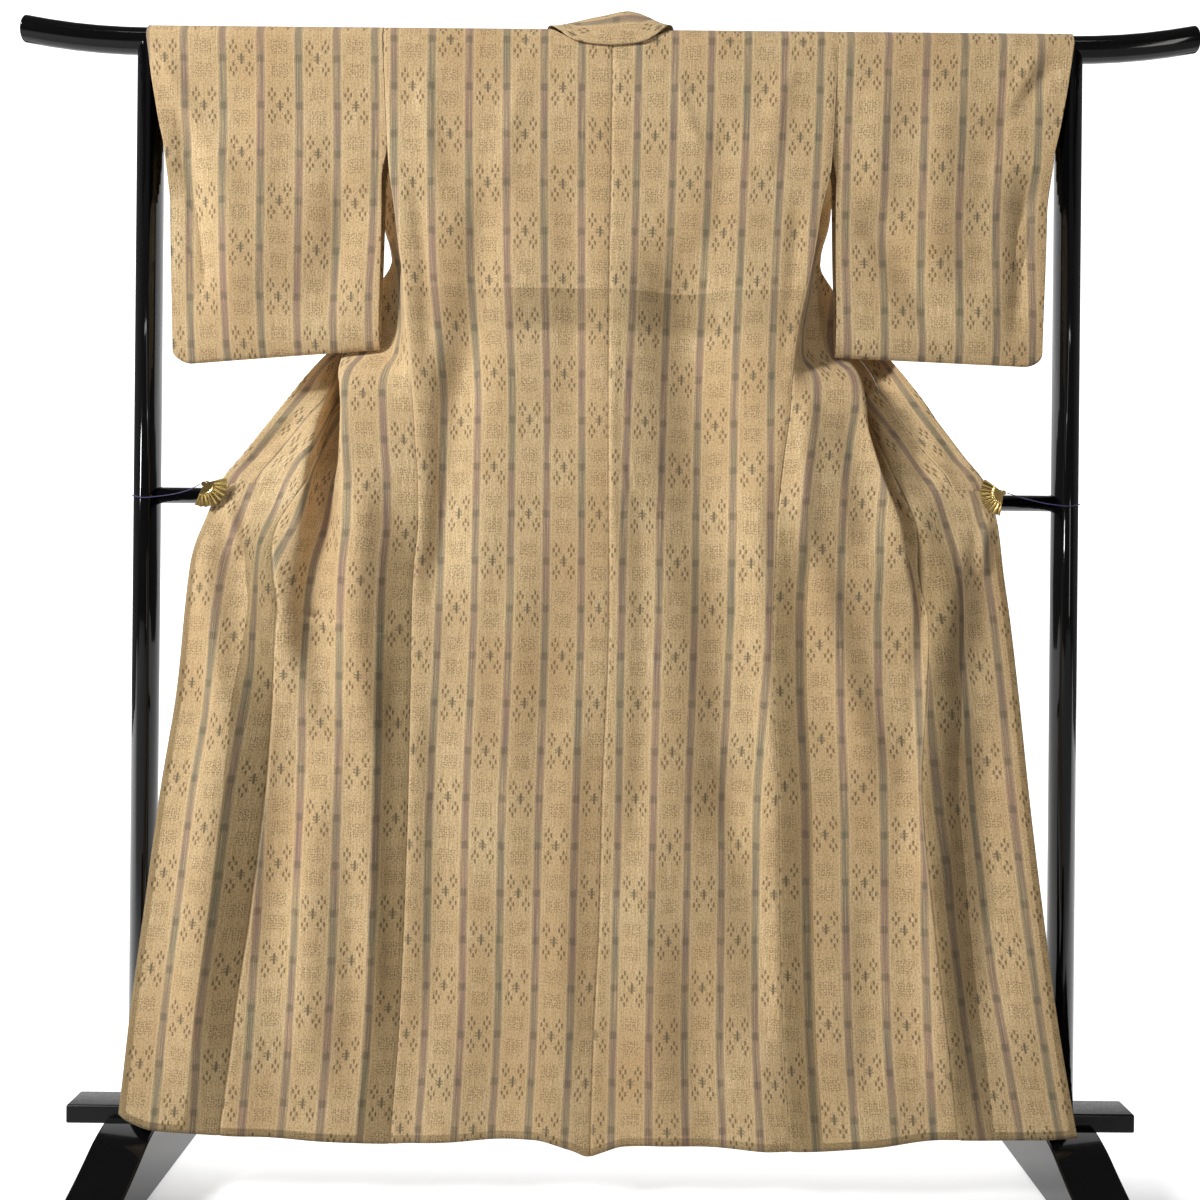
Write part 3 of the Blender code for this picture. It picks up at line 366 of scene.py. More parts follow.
def creases(x, z, rows):
    """Sum of soft folds: height times exp(-(distance from the line / half width)^2), faded at both ends.

    The line bows sideways by a fiftieth of its length, as half a sine.
    """
    total = np.zeros(np.shape(x))
    for x0, z0, x1, z1, half, height in rows:
        length = math.hypot(x1 - x0, z1 - z0)
        ux, uz = (x1 - x0) / length, (z1 - z0) / length
        along = (x - x0) * ux + (z - z0) * uz
        bow = 0.02 * length * np.sin(math.pi * np.clip(along / length, 0, 1)) * math.copysign(1, height)
        away = (x - x0) * uz - (z - z0) * ux - bow
        ends = step_between(0, 0.25 * length, along) * step_between(0, 0.25 * length, length - along)
        total += height * np.exp(-(away / half) ** 2) * ends
    return total


class Front:
    """One opened front, as a horizontal section at each height, from the side seam to its free edge."""

    def __init__(self, name, sign, rows):
        self.name = name
        self.sign = sign
        self.columns = dict(zip(FOLD_COLUMNS, rows[::-1].T))
        self.sections = {}

    def value(self, name, z):
        return float(smooth(z, self.columns["z"], self.columns[name]))

    def section(self, z):
        """Points (x outwards, y) along the cloth at this height and their distance from the side seam."""
        key = round(float(z), 5)
        if key in self.sections:
            return self.sections[key]
        side, ridge, valley, fold, edge = (
            np.array([self.value(name, z), self.value(name + "_y", z)])
            for name in ("side", "ridge", "valley", "fold", "edge")
        )
        along = edge - side
        half = FOLD_HALF * along / np.linalg.norm(along)
        share, rise = (float(smooth(z, TURN["z"], TURN[name])) for name in ("share", "rise"))
        middle = np.array([(fold[0] + edge[0]) / 2, edge[1] + share * (fold[1] - edge[1]) + rise])
        deep = float(smooth(z, IN_DEEP["z"], IN_DEEP["share"]))
        inward = side + (ridge - side) * np.array([IN_ACROSS, deep])
        line = through([side, inward, ridge, valley - half, valley + half, fold, middle, edge], 300)
        ends = np.pad(line, ((ROUNDING, ROUNDING), (0, 0)), mode="reflect", reflect_type="odd")
        window = np.ones(2 * ROUNDING + 1) / (2 * ROUNDING + 1)
        line = np.stack([np.convolve(column, window, mode="valid") for column in ends.T], axis=1)
        self.sections[key] = line, along_line(line)
        return self.sections[key]

    def at(self, z, back_from_edge):
        """Points of the section at these distances along the cloth, counted back from the free edge."""
        line, length = self.section(z)
        return read_line(length[-1] - np.asarray(back_from_edge), length, line)

    def width(self, z):
        return float(self.section(z)[1][-1])


FRONTS = (Front("left", -1, FOLDS_LEFT), Front("right", 1, FOLDS_RIGHT))


def hem_line(x):
    return smooth(x, HEM["x"], HEM["z"])


def hem_drop(sign, flat, z):
    """Moves a row near the hem by a share of its uneven line that grows with the square of nearness."""
    near = np.clip((HEM_FADE - z) / (HEM_FADE - HEM_LEVEL), 0, 1)
    return z + near ** 2 * (hem_line(sign * flat[:, 0]) - HEM_LEVEL)


def front_row(front, z, distances):
    """One row of the front at height z, and the direction of the cloth along it."""
    flat = front.at(z, distances)
    ahead = front.at(z, np.asarray(distances) - STEP) - front.at(z, np.asarray(distances) + STEP)
    heights = hem_drop(front.sign, flat, z)
    row = np.stack([front.sign * flat[:, 0], flat[:, 1], heights], axis=1)
    return row, np.stack([front.sign * ahead[:, 0], ahead[:, 1], 0 * heights], axis=1)


def normals_of(grid, alongs):
    """The cross product of each row's direction and the step between rows, as unit vectors."""
    normals = np.cross(np.array(alongs), np.gradient(grid, axis=0))
    return normals / np.linalg.norm(normals, axis=2, keepdims=True)


def spread(start, end, count):
    """Places from start to end: even steps between, and closer ones at both ends."""
    way = 1 if end > start else -1
    edge = np.array(EDGE_COLUMNS)
    inner = np.linspace(start + way * EDGE_COLUMNS[-1], end - way * EDGE_COLUMNS[-1], count)[1:-1]
    return np.concatenate([start + way * edge, inner, (end - way * edge)[::-1]])


def with_laps(places, first, last):
    """Two columns in place of each end one: past the edge by a seam allowance, or just inside it."""
    low, high = places[0], places[-1]
    start = [low - first, low - 0.25 * first] if first > 0 else [low, low + LAP_INSET]
    end = [high + 0.25 * last, high + last] if last > 0 else [high - LAP_INSET, high]
    return np.concatenate([start, places[1:-1], end])


def seam_roll(from_edge):
    """How far the cloth rolls in at a seam: the dip times exp(-(distance from the edge / roll)^2)."""
    return -SEAM_DIP * np.exp(-(np.asarray(from_edge) / SEAM_ROLL) ** 2)


FINE_LEVELS = np.unique(np.round(np.concatenate([np.arange(LEVELS[0], LEVELS[-1], -ROW_STEP),
                                                 [LEVELS[-1], CLIP_LEVEL, CLIP_LEVEL - 0.0015]]), 4))[::-1]


# ---- sheets of cloth
def pattern_cells(columns, z, row, shift=0.0):
    """The pattern's column and level at each point. Levels follow the heights before the hem sags."""
    level = smooth(z, BACK_LEVELS["z"], BACK_LEVELS["level"])
    return np.stack([columns, level + shift + (z - row[:, 2]) / CELL[1]], axis=1)


def stripe_columns(track, x, z):
    """Columns of the pattern from the place of the first and the fifth stripe at this height."""
    first, fifth = (smooth(z, track["z"], track[key]) for key in ("first", "fifth"))
    return 4 * (x - first) / (fifth - first)


def doubled(row, z, *insides):
    """How far each point is inside a doubled part: the turned hem, or any of the parts given."""
    hem = HEM_TURN - (row[:, 2] - hem_line(row[:, 0]))
    return np.maximum.reduce([np.where(z < HEM_FADE, hem, -1), *insides])


def front_lift(row, z):
    """Small folds of the front, which grow in below the level of the waist."""
    return creases(row[:, 0], row[:, 2], FRONT_CREASES) * step_between(*CREASE_FADE, z)


def strip_press(z, count):
    """How strongly the painted shade of the strips at the seams shows at this height, the same across the
    row.
    """
    return np.full(count, STRIP_PRESS * (1 - float(step_between(*STRIP_FADE, z))))


def finish_sheet(sign, strips):
    """Moves the grid's points along their normals, which point out of the garment, by their lifts.

    Each strip holds a row's points, their direction along it, pattern cells, layers, seams, lifts and press.
    """
    grid, alongs, cells, layers, seams, lifts, press = (np.array(part) for part in zip(*strips))
    grid = grid + sign * normals_of(grid, alongs) * lifts[:, :, None]
    return grid, cells, {"layers": layers, "sewn": seams, "press": press}


def body_sheet(front, across):
    """One length of cloth as a grid of rows: up the back, over the rail and down the front.

    Back: x runs from the centre seam to the side seam at each height. Rail: x at each angle round it.
    Front: places at even distances along the section from the side seam to the okumi seam.
    """
    sign, track, strips = front.sign, STRIPES[front.name], []
    half_step = ROW_STEP / 2
    above = np.arange(LEVELS[0] + half_step, NECK_LOW, half_step)
    for z in np.concatenate([FINE_LEVELS[::-1], above, [NECK_LOW]]):
        seam = sign * smooth(z, BACK["z"], BACK["seam"])
        side = front.value("side", z)
        x = with_laps(spread(seam, side, across), UNDERLAP * (sign < 0), 0)
        inside = np.clip((side - x) / BACK_FOLDS["flat_edge"], 0, 1)
        y = smooth(z, BACK["z"], BACK["y"]) + back_ripple(sign * x, z) * inside
        heights = hem_drop(sign, np.stack([x, y], axis=1), z)
        row = np.stack([sign * x, y, heights], axis=1)
        lift = creases(sign * x, heights, BACK_CREASES) * step_between(0, SEAM_FLAT, side - x)
        lift += seam_roll(x - seam) + seam_roll(side - x)
        lift[:2] -= UNDER_DEPTH * (sign < 0)
        tuck = np.minimum(min(z - TUCK[0], TUCK[1] - z), TUCK[2] - np.abs(x))
        shown = smooth(sign * x, TUCK_PRESS["x"], TUCK_PRESS["share"]) * step_between(*TUCK_FADE, z)
        strips.append((row, np.full(row.shape, (sign, 0.0, 0.0)),
                       pattern_cells(sign * (1 + stripe_columns(track, x, z)), z, row),
                       doubled(row, z, tuck), np.minimum(x - seam, side - x + 0.002), lift,
                       shown if z > 1 else np.ones(len(x))))
    shoulder = front.value("side", SHOULDER)
    for degrees in [-95, -92.5] + [-90 + 6 * k for k in range(31)]:
        behind = max(-90 - degrees, 0)
        angle = math.radians(max(degrees, -90))
        neck = smooth(degrees, *np.array(NECK_TO_SHOULDER).T) - NECK_NARROWS * behind
        x = with_laps(spread(neck, shoulder, across), 0, 0)
        y = OVER_RAIL * math.sin(angle) + 0 * x
        z = RAIL_HEIGHT + OVER_RAIL * math.cos(angle) - NECK_SINKS * behind + 0 * x
        row = np.stack([sign * x, y, z], axis=1)
        cells = pattern_cells(sign * (1 + stripe_columns(track, x, RAIL_HEIGHT)), RAIL_HEIGHT, row)
        cells[:, 1] = smooth(RAIL_HEIGHT, BACK_LEVELS["z"], BACK_LEVELS["level"])
        cells[:, 1] -= OVER_RAIL * (angle + math.pi / 2) / CELL[1]
        strips.append((row, np.full(row.shape, (sign, 0.0, 0.0)), cells, np.full(len(x), -1.0),
                       shoulder - x + 0.001, seam_roll(shoulder - x) * 0.5, np.zeros(len(x))))
    for z in FINE_LEVELS:
        inner = max(front.value("okumi", z), COLLAR_WIDTH)
        width = front.width(z)
        near_side = 0.0004 + 0.0006 * np.clip((z - SIDE_TURN) / 0.06, 0, 1)
        away = with_laps(spread(inner, width - near_side, across), 0, 0)
        row, along = front_row(front, z, away)
        hidden = step_between(OPEN_SIDE, OPEN_SIDE - 0.03, z)
        row[-2:, 0] = sign * (front.value("side", z) - np.array([0.3, 1.0]) * UNDERLAP * hidden)
        row[-2:, 1] = front.value("side_y", z) + UNDER_DEPTH * hidden
        phase, shift = FRONT_PHASE[front.name]
        columns = sign * (SIDE_STRIPE - phase + (width - away) / CELL[0])
        lift = front_lift(row, z) * step_between(0, SEAM_FLAT, width - away)
        lift = lift + seam_roll(away - inner) + seam_roll(width - away)
        seams = np.minimum(away - inner, np.abs(width - away) + 0.004 * (z > OPEN_SIDE))
        layers = doubled(row, z, STRIP_WIDTH["body"] - (width - away) - 0.002)
        strips.append((row, -along, pattern_cells(columns, z, row, shift), layers, seams, lift,
                       strip_press(z, len(away))))
    return finish_sheet(sign, strips)


def okumi_sheet(front, across):
    """The front's overlap: places along each section from the okumi seam to the collar or the free edge."""
    phase, shift = OKUMI_PHASE[front.name]
    strips = []
    for z in FINE_LEVELS[FINE_LEVELS < KENSAKI]:
        seam = front.value("okumi", z)
        outer = COLLAR_WIDTH if z >= CLIP_LEVEL else 0.0
        under = UNDERLAP * np.clip((1.0 - z) / 0.06, 0, 1)
        away = np.concatenate([[seam + max(under, 0), seam + 0.25 * under - LAP_INSET / 2],
                               spread(seam, outer, across)[1:]])
        row, along = front_row(front, z, away)
        columns = front.sign * (SIDE_STRIPE + phase - away / CELL[0])
        lift = front_lift(row, z) + seam_roll(seam - away)
        seams = np.minimum(np.abs(seam - away), np.where(z >= CLIP_LEVEL, away - outer + 0.001, 1))
        lift[:2] -= UNDER_DEPTH * step_between(0, UNDERLAP / 2, under)
        edge = np.where(z < CLIP_LEVEL, EDGE_TURN - away, -1)
        layers = doubled(row, z, STRIP_WIDTH["okumi"] - (seam - away), edge)
        strips.append((row, -along, pattern_cells(columns, z, row, shift), layers, seams, lift,
                       strip_press(z, len(away))))
    return finish_sheet(front.sign, strips)


def collar_sheet(across):
    """One strip up the left front edge, round the back of the neck and down the right front edge."""
    halves = []
    t = np.linspace(0, 1, across)
    for front in FRONTS:
        flip = np.array([front.sign, 1, 1])
        strips = []
        for k in np.linspace(0, len(NECK) - 1, 41):
            row = np.array([smooth(k, np.arange(len(NECK)), column) for column in NECK.T])
            strip = row[:3] * flip + t[:, None] * (row[3:] - row[:3]) * flip
            rise = max(1 - row[0] / BULGE_REACH, 0) ** 0.5 * np.sin(math.pi * t)
            strip = strip + NECK_BULGE * rise[:, None] * np.array(BULGE_WAY)
            centre, half, height, start, over = NECK_RISE
            stand = height * np.exp(-((strip[:, 0] - centre) / half) ** 2)
            strip[:, 2] += stand * step_between(start, start + over, strip[:, 2])
            strips.append((strip, np.gradient(strip, axis=0), 0 * t))
        for z in np.concatenate([np.arange(RAIL_HEIGHT, LEVELS[0], -ROW_STEP),
                                 FINE_LEVELS[FINE_LEVELS >= CLIP_LEVEL - 0.002]]):
            row, along = front_row(front, z, (COLLAR_WIDTH - 0.0002) * (1 - t))
            strips.append((row, along, -front_lift(row, z)))
        halves.append(strips)
    grid, alongs, lifts = (np.array(part) for part in zip(*halves[0][::-1], *halves[1][1:]))
    grid = grid + normals_of(grid, alongs) * lifts[:, :, None]
    run = along_line(grid[:, 0]) / CELL[1]
    columns = COLLAR_PHASE[0] + np.linspace(0, COLLAR_WIDTH / CELL[0], across)
    cells = np.stack(np.broadcast_arrays(columns[None, :], run[:, None] + COLLAR_PHASE[1]), axis=2)
    edge = COLLAR_WIDTH * t[None, :] + 0 * run[:, None] + 0.0008
    none = np.zeros(grid.shape[:2])
    return grid, cells, {"layers": none - 1, "sewn": edge, "press": none}


def sleeve_sheet(front, across, around):
    """A flat tube hung over the rail: a ring of heights, up one layer, round the rail and down the other.

    x is a mix of the inner and outer outlines, and the layers close at the outer edge below the wrist.
    """
    sign = front.sign
    low_in, low_out = SLEEVE_BOTTOM[front.name]
    shares = np.concatenate([[0, 0.004, 0.012], np.linspace(0.025, 0.955, across),
                             [0.97, 0.982, 0.991, 0.997, 1]])
    shares = shares[:, None]
    corner = np.clip((shares - 1 + SLEEVE_CORNER[0]) / SLEEVE_CORNER[0], 0, 1)
    bottom = low_in + (low_out - low_in) * shares + SLEEVE_CORNER[1] * (1 - np.sqrt(1 - corner ** 2))
    up = bottom + (RAIL_HEIGHT - bottom) * (np.linspace(0, 1, around)[None, :])
    inner, outer = (smooth(up, SLEEVE["z"], SLEEVE[edge]) for edge in ("inner", "outer"))
    body_side = smooth(up, front.columns["z"], front.columns["side"]) + 0.0004
    inner = inner + (body_side - inner) * step_between(SLEEVE_JOIN - 0.03, SLEEVE_JOIN + 0.02, up)
    x = (1 - shares) * inner + shares * outer
    above, fade = WRIST_FADE
    shut = np.clip((WRIST_LOW + above - up) / fade, 0, 1)
    shut = shut * np.clip((shares - WRIST_ACROSS) / (1 - WRIST_ACROSS), 0, 1)
    depth = smooth(up, SLEEVE["z"], SLEEVE["depth"]) * (1 - shut) + SEWN_DEPTH * shut
    depth = np.maximum(depth * np.clip((up - bottom) / BOTTOM_ROUND, 0, 1) ** 0.5, SEWN_DEPTH)
    free = np.clip(depth / 0.006 - 0.2, 0, 1)
    near, far = (creases(sign * place, up, SLEEVE_CREASES) * free for place in (x, SLEEVE_MIRROR - x))
    bends = np.radians(np.arange(-84, 85, 8.4))[None, :]
    ones = np.ones((len(shares), bends.shape[1]))

    def whole(back, top, other):
        return np.concatenate([back, top, other[:, ::-1]], axis=1)

    grid = whole(np.stack([sign * x, -depth - near, up], axis=2),
                 np.stack([sign * x[:, -1:] * ones, OVER_RAIL * np.sin(bends) * ones,
                           RAIL_HEIGHT + OVER_RAIL * np.cos(bends) * ones], axis=2),
                 np.stack([sign * x, depth + far, up], axis=2))
    level, parity = SLEEVE_LEVEL[front.name]
    u = sign * (parity + stripe_columns(SLEEVE_STRIPES[front.name], x, up))
    v = (level - up) / SLEEVE_CELL
    top = v[:, -1:]
    cells = np.stack([whole(u, u[:, -1:] * ones, u),
                      whole(v, top - OVER_RAIL * (bends + math.pi / 2) / SLEEVE_CELL,
                            2 * top - math.pi * OVER_RAIL / SLEEVE_CELL - v)], axis=2)
    joined = x - inner + 0.0008 + NO_SEAM * step_between(SLEEVE_JOIN + 0.01, SLEEVE_JOIN - 0.01, up)
    sewn = whole(joined, joined[:, -1:] * ones, joined)
    return grid, cells, {"layers": 0 * sewn - 1, "sewn": sewn, "press": 0 * sewn}


# ---- meshes
def grid_faces(rows, columns, ring=False):
    """Four-cornered faces between a grid's neighbouring points. In a ring the last column meets the first."""
    i, j = np.meshgrid(np.arange(rows - 1), np.arange(columns if ring else columns - 1), indexing="ij")
    m = (j + 1) % columns
    return np.stack([i * columns + j, i * columns + m, (i + 1) * columns + m, (i + 1) * columns + j],
                    axis=-1).reshape(-1, 4)


def face_out(mesh):
    """Turns the faces round if the triangles' signed volume, the sum of a . (b x c) / 6, is negative."""
    mesh.calc_loop_triangles()
    points = np.empty(len(mesh.vertices) * 3)
    corners = np.empty(len(mesh.loop_triangles) * 3, np.int32)
    mesh.vertices.foreach_get("co", points)
    mesh.loop_triangles.foreach_get("vertices", corners)
    triangles = points.reshape(-1, 3)[corners].reshape(-1, 3, 3)
    if np.linalg.det(triangles).sum() < 0:
        mesh.flip_normals()


def add_mark(mesh, name, values):
    """A number at each point, which a material reads as an attribute."""
    mark = mesh.attributes.new(name, "FLOAT", "POINT")
    mark.data.foreach_set("value", values.astype(np.float32).ravel())


def thicken(piece, thickness):
    """Gives a sheet its thickness, half to each side."""
    solid = piece.modifiers.new("Thickness", "SOLIDIFY")
    solid.thickness = thickness
    solid.offset = 0.0


def new_piece(name, points, faces, material, slot, replaced):
    """Makes the mesh, gives it its finish and lets it ride on the stand's body in its CAD node's place."""
    mesh = bpy.data.meshes.new(name)
    mesh.from_pydata(points.reshape(-1, 3).tolist(), [], [list(map(int, f)) for f in faces])
    face_out(mesh)
    mesh.shade_smooth()
    mesh.materials.append(material)
    piece = bpy.data.objects.new(name, mesh)
    bpy.context.scene.collection.objects.link(piece)
    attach(piece, "root")
    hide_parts(replaced)
    return piece


def cloth_piece(name, sheet, ring=False):
    """A sheet with the pattern's cells as a UV map, marks for layers and seams, and the silk's thickness."""
    silk = bpy.data.materials.get("pongee_silk") or pongee_silk(bpy.context.scene.kimono_cloth)
    grid, cells, marks = sheet
    piece = new_piece("silk_" + name, grid, grid_faces(*grid.shape[:2], ring), silk, "silk", name)
    mesh = piece.data
    corner = np.empty(len(mesh.loops), np.int32)
    mesh.loops.foreach_get("vertex_index", corner)
    uv = mesh.uv_layers.new(name="Weave")
    uv.data.foreach_set("uv", cells.reshape(-1, 2)[corner].astype(np.float32).ravel())
    for key, values in marks.items():
        add_mark(mesh, key, values)
    thicken(piece, CLOTH)
    return piece


def closed_rings(rings):
    """Points of a tube from its rings, with a point added at the middle of each end, and its faces."""
    count, sides = rings.shape[:2]
    points = np.concatenate([rings.reshape(-1, 3), rings[:1].mean(axis=1), rings[-1:].mean(axis=1)])
    last = (count - 1) * sides
    ring = [(a, (a + 1) % sides) for a in range(sides)]
    ends = [(count * sides, b, a) for a, b in ring]
    ends += [(count * sides + 1, last + a, last + b) for a, b in ring]
    return points, [*grid_faces(count, sides, ring=True), *ends]


def rod_rings(path, radius, sides, rounding):
    """A circle carried along a path. At both ends its radius shrinks as a quarter circle over rounding."""
    length = along_line(path)
    near = rounding * (1 - np.cos(np.linspace(0.12, math.pi / 2, 7)))
    between = np.linspace(rounding, length[-1] - rounding, len(path))
    at = np.concatenate([near[:-1], between, (length[-1] - near[:-1])[::-1]])
    centres = read_line(at, length, path)
    ahead = np.gradient(centres, axis=0)
    ahead /= np.linalg.norm(ahead, axis=1, keepdims=True)
    from_end = np.minimum(np.minimum(at, length[-1] - at), rounding)
    radii = radius - rounding + np.sqrt(np.maximum(rounding ** 2 - (rounding - from_end) ** 2, 0))
    side = np.cross(ahead, [0.0, 1.0, 0.0])
    side /= np.linalg.norm(side, axis=1, keepdims=True)
    up = np.cross(side, ahead)
    angles = np.linspace(0, 2 * math.pi, sides, endpoint=False)
    turn = np.cos(angles)[None, :, None] * side[:, None] + np.sin(angles)[None, :, None] * up[:, None]
    return centres[:, None] + radii[:, None, None] * turn


def coped_rings(radius, sides, low, high, low_coped, place):
    """A circle carried along one axis between two ends, each flat or hollowed to fit a round bar across it.

    A hollowed end stops short of the other bar's middle by the root of over^2 - depth^2, where over is that
    bar's radius and a gap. place puts the circle's two directions and the axis into x, y and z.
    """
    angles = np.linspace(0, 2 * math.pi, sides, endpoint=False)
    rings = []
    for end, share in [(0, k) for k in CAP_SHARES[::-1]] + [(1, k) for k in CAP_SHARES]:
        side, depth = radius * share * np.cos(angles), radius * share * np.sin(angles)
        hollow = np.sqrt((ROD_RADIUS + JOINT_GAP) ** 2 - depth ** 2)
        rings.append(place(side, depth, high - hollow if end else low + low_coped * hollow))
    return np.array(rings)


def foot_outline():
    """Half the outline by depth and height, smooth through FOOT_TOP, and its mirror image."""
    notch = BOARD_DEPTH / 2 + JOINT_GAP
    top = through([(notch, FOOT_TOP[0][1]), *FOOT_TOP[1:]], 26)
    half = [(notch, BOARD_UNDER - JOINT_GAP), *map(tuple, top), *FOOT_UNDER]
    return np.array(half + [(-y, z) for y, z in half[::-1]])


def board_rings(rounding):
    """A rectangle with quarter-circle corners carried along X, whose radius shrinks near both ends."""
    turn = np.linspace(0, math.pi / 2, 5)
    ends = np.radians([80, 60, 40, 20, 0])
    centre = BOARD_UNDER + BOARD_THICK / 2
    rings = []
    for way, angles in ((-1, ends), (1, ends[::-1])):
        for angle in angles:
            small = rounding * math.cos(angle)
            ring = []
            for k, (sy, sz) in enumerate(((1, 1), (-1, 1), (-1, -1), (1, -1))):
                bend = turn + k * math.pi / 2
                y = sy * (BOARD_DEPTH / 2 - rounding) + small * np.cos(bend)
                z = centre + sz * (BOARD_THICK / 2 - rounding) + small * np.sin(bend)
                ring.append(np.stack([y, z], axis=1))
            x = way * (BOARD_HALF_LENGTH - rounding * (1 - math.sin(angle)))
            rings.append(np.insert(np.concatenate(ring), 0, x, axis=1))
    return np.array(rings)


def fan_sheet(front, pleats_fine):
    """The fan's face by radius and angle. Depth is a triangle wave of the angle that starts past the hub.

    Also gives the wave's height at each point, which is 0 at the bottom of a groove.
    """
    pivot_x, pivot_z, middle, opened = FANS[front.name]
    face = front.value("edge_y", pivot_z) - FAN_STAND_OFF
    angles = np.linspace(middle - opened / 2, middle + opened / 2, 2 * FAN_PLEATS * pleats_fine + 1)
    wave = (1 - np.abs(2 * (np.linspace(0, FAN_PLEATS, len(angles)) % 1) - 1))[None, :]
    shares = np.array(FAN_SHARES)[:, None]
    radius = shares * FAN_RADIUS * (1 - SCALLOP * wave * step_between(0.8, 1.0, shares))
    grown = step_between(*PLEATS_FROM, shares)
    lip = HUB_LIP * np.exp(-((shares - 0.45) / 0.03) ** 2)
    depth = PLEAT_DEPTH * grown * wave - lip - HUB_BOWL * (1 - shares ** 2)
    turn = np.radians(angles)[None, :]
    x, z = pivot_x + radius * np.cos(turn), pivot_z + radius * np.sin(turn)
    return np.stack([x, face + depth, z], axis=2), wave * grown


def cord_path(front, count):
    """The cord's route: pin, front of the middle rail, once round the post, end behind the rail."""
    pivot_x, pivot_z = FANS[front.name][:2]
    start_y = front.value("edge_y", pivot_z) - FAN_STAND_OFF
    round_post = (ROD_RADIUS + CORD_RADIUS + 3 * JOINT_GAP) / math.cos(math.radians(15))
    turns = np.radians(np.arange(-90, 91, 30))
    loop = np.stack([POST_X + round_post * np.cos(turns), round_post * np.sin(turns),
                     CORD_AT_POST + CORD_SAG * np.cos(turns)], axis=1)
    start = (abs(pivot_x) + PIN_RADIUS + 2 * CORD_RADIUS, start_y, pivot_z)
    route = [start, *CORD_TO_POST, *map(tuple, loop), *CORD_END]
    return through(route, count) * np.array([front.sign, 1, 1])


def twisted_rings(path, radius, sides, lay):
    """A two-strand section carried along a path and turned once every lay of its length."""
    rings = rod_rings(path, radius, sides, radius * 0.8)
    centre = rings.mean(axis=1, keepdims=True)
    run = along_line(centre[:, 0])
    angles = np.linspace(0, 2 * math.pi, sides, endpoint=False)
    swell = 1 - STRAND_SHARE * (1 - np.abs(np.cos(angles[None, :] + 2 * math.pi * run[:, None] / lay)))
    return centre + (rings - centre) * swell[:, :, None]


# ---- materials
def linear(hex_colour):
    """An sRGB hex colour as linear red, green, blue and alpha."""
    parts = [int(hex_colour[i:i + 2], 16) / 255 for i in (1, 3, 5)]
    return tuple(c / 12.92 if c <= 0.04045 else ((c + 0.055) / 1.055) ** 2.4 for c in parts) + (1.0,)


def add_node(tree, kind, settings=None, links=None):
    """Adds a node with its settings. An input given as a socket is linked, and any other value is set."""
    node = tree.nodes.new("ShaderNode" + kind)
    for name, value in (settings or {}).items():
        setattr(node, name, value)
    for name, value in (links or {}).items():
        if isinstance(value, bpy.types.NodeSocket):
            tree.links.new(value, node.inputs[name])
        else:
            node.inputs[name].default_value = value
    return node


def new_material(name, colour_hex, roughness, **sockets):
    """An empty Principled material with constant values set on its own sockets."""
    found = bpy.data.materials.new(name)
    found.use_nodes = True
    shader = found.node_tree.nodes["Principled BSDF"]
    shader.inputs["Base Color"].default_value = linear(colour_hex)
    shader.inputs["Roughness"].default_value = roughness
    for key, value in sockets.items():
        shader.inputs[key.replace("_", " ")].default_value = value
    found.diffuse_color = linear(colour_hex)
    return found, found.node_tree, shader


def away_from(result, value, middle):
    """Steps for a distance: the value less the middle, without its sign."""
    return (result + "_off", "SUBTRACT", value, middle), (result, "ABSOLUTE", result + "_off")


def soft_box(result, across, up, half_width, half_height, soft):
    """Steps for a box with soft edges: 1 inside, 0 outside, falling over the soft width in millimetres."""
    return (
        (result + "_w", "MULTIPLY_ADD!", across, -1 / soft, half_width / soft + 0.5),
        (result + "_h", "MULTIPLY_ADD!", up, -1 / soft, half_height / soft + 0.5),
        (result, "MULTIPLY", result + "_w", result + "_h"),
    )


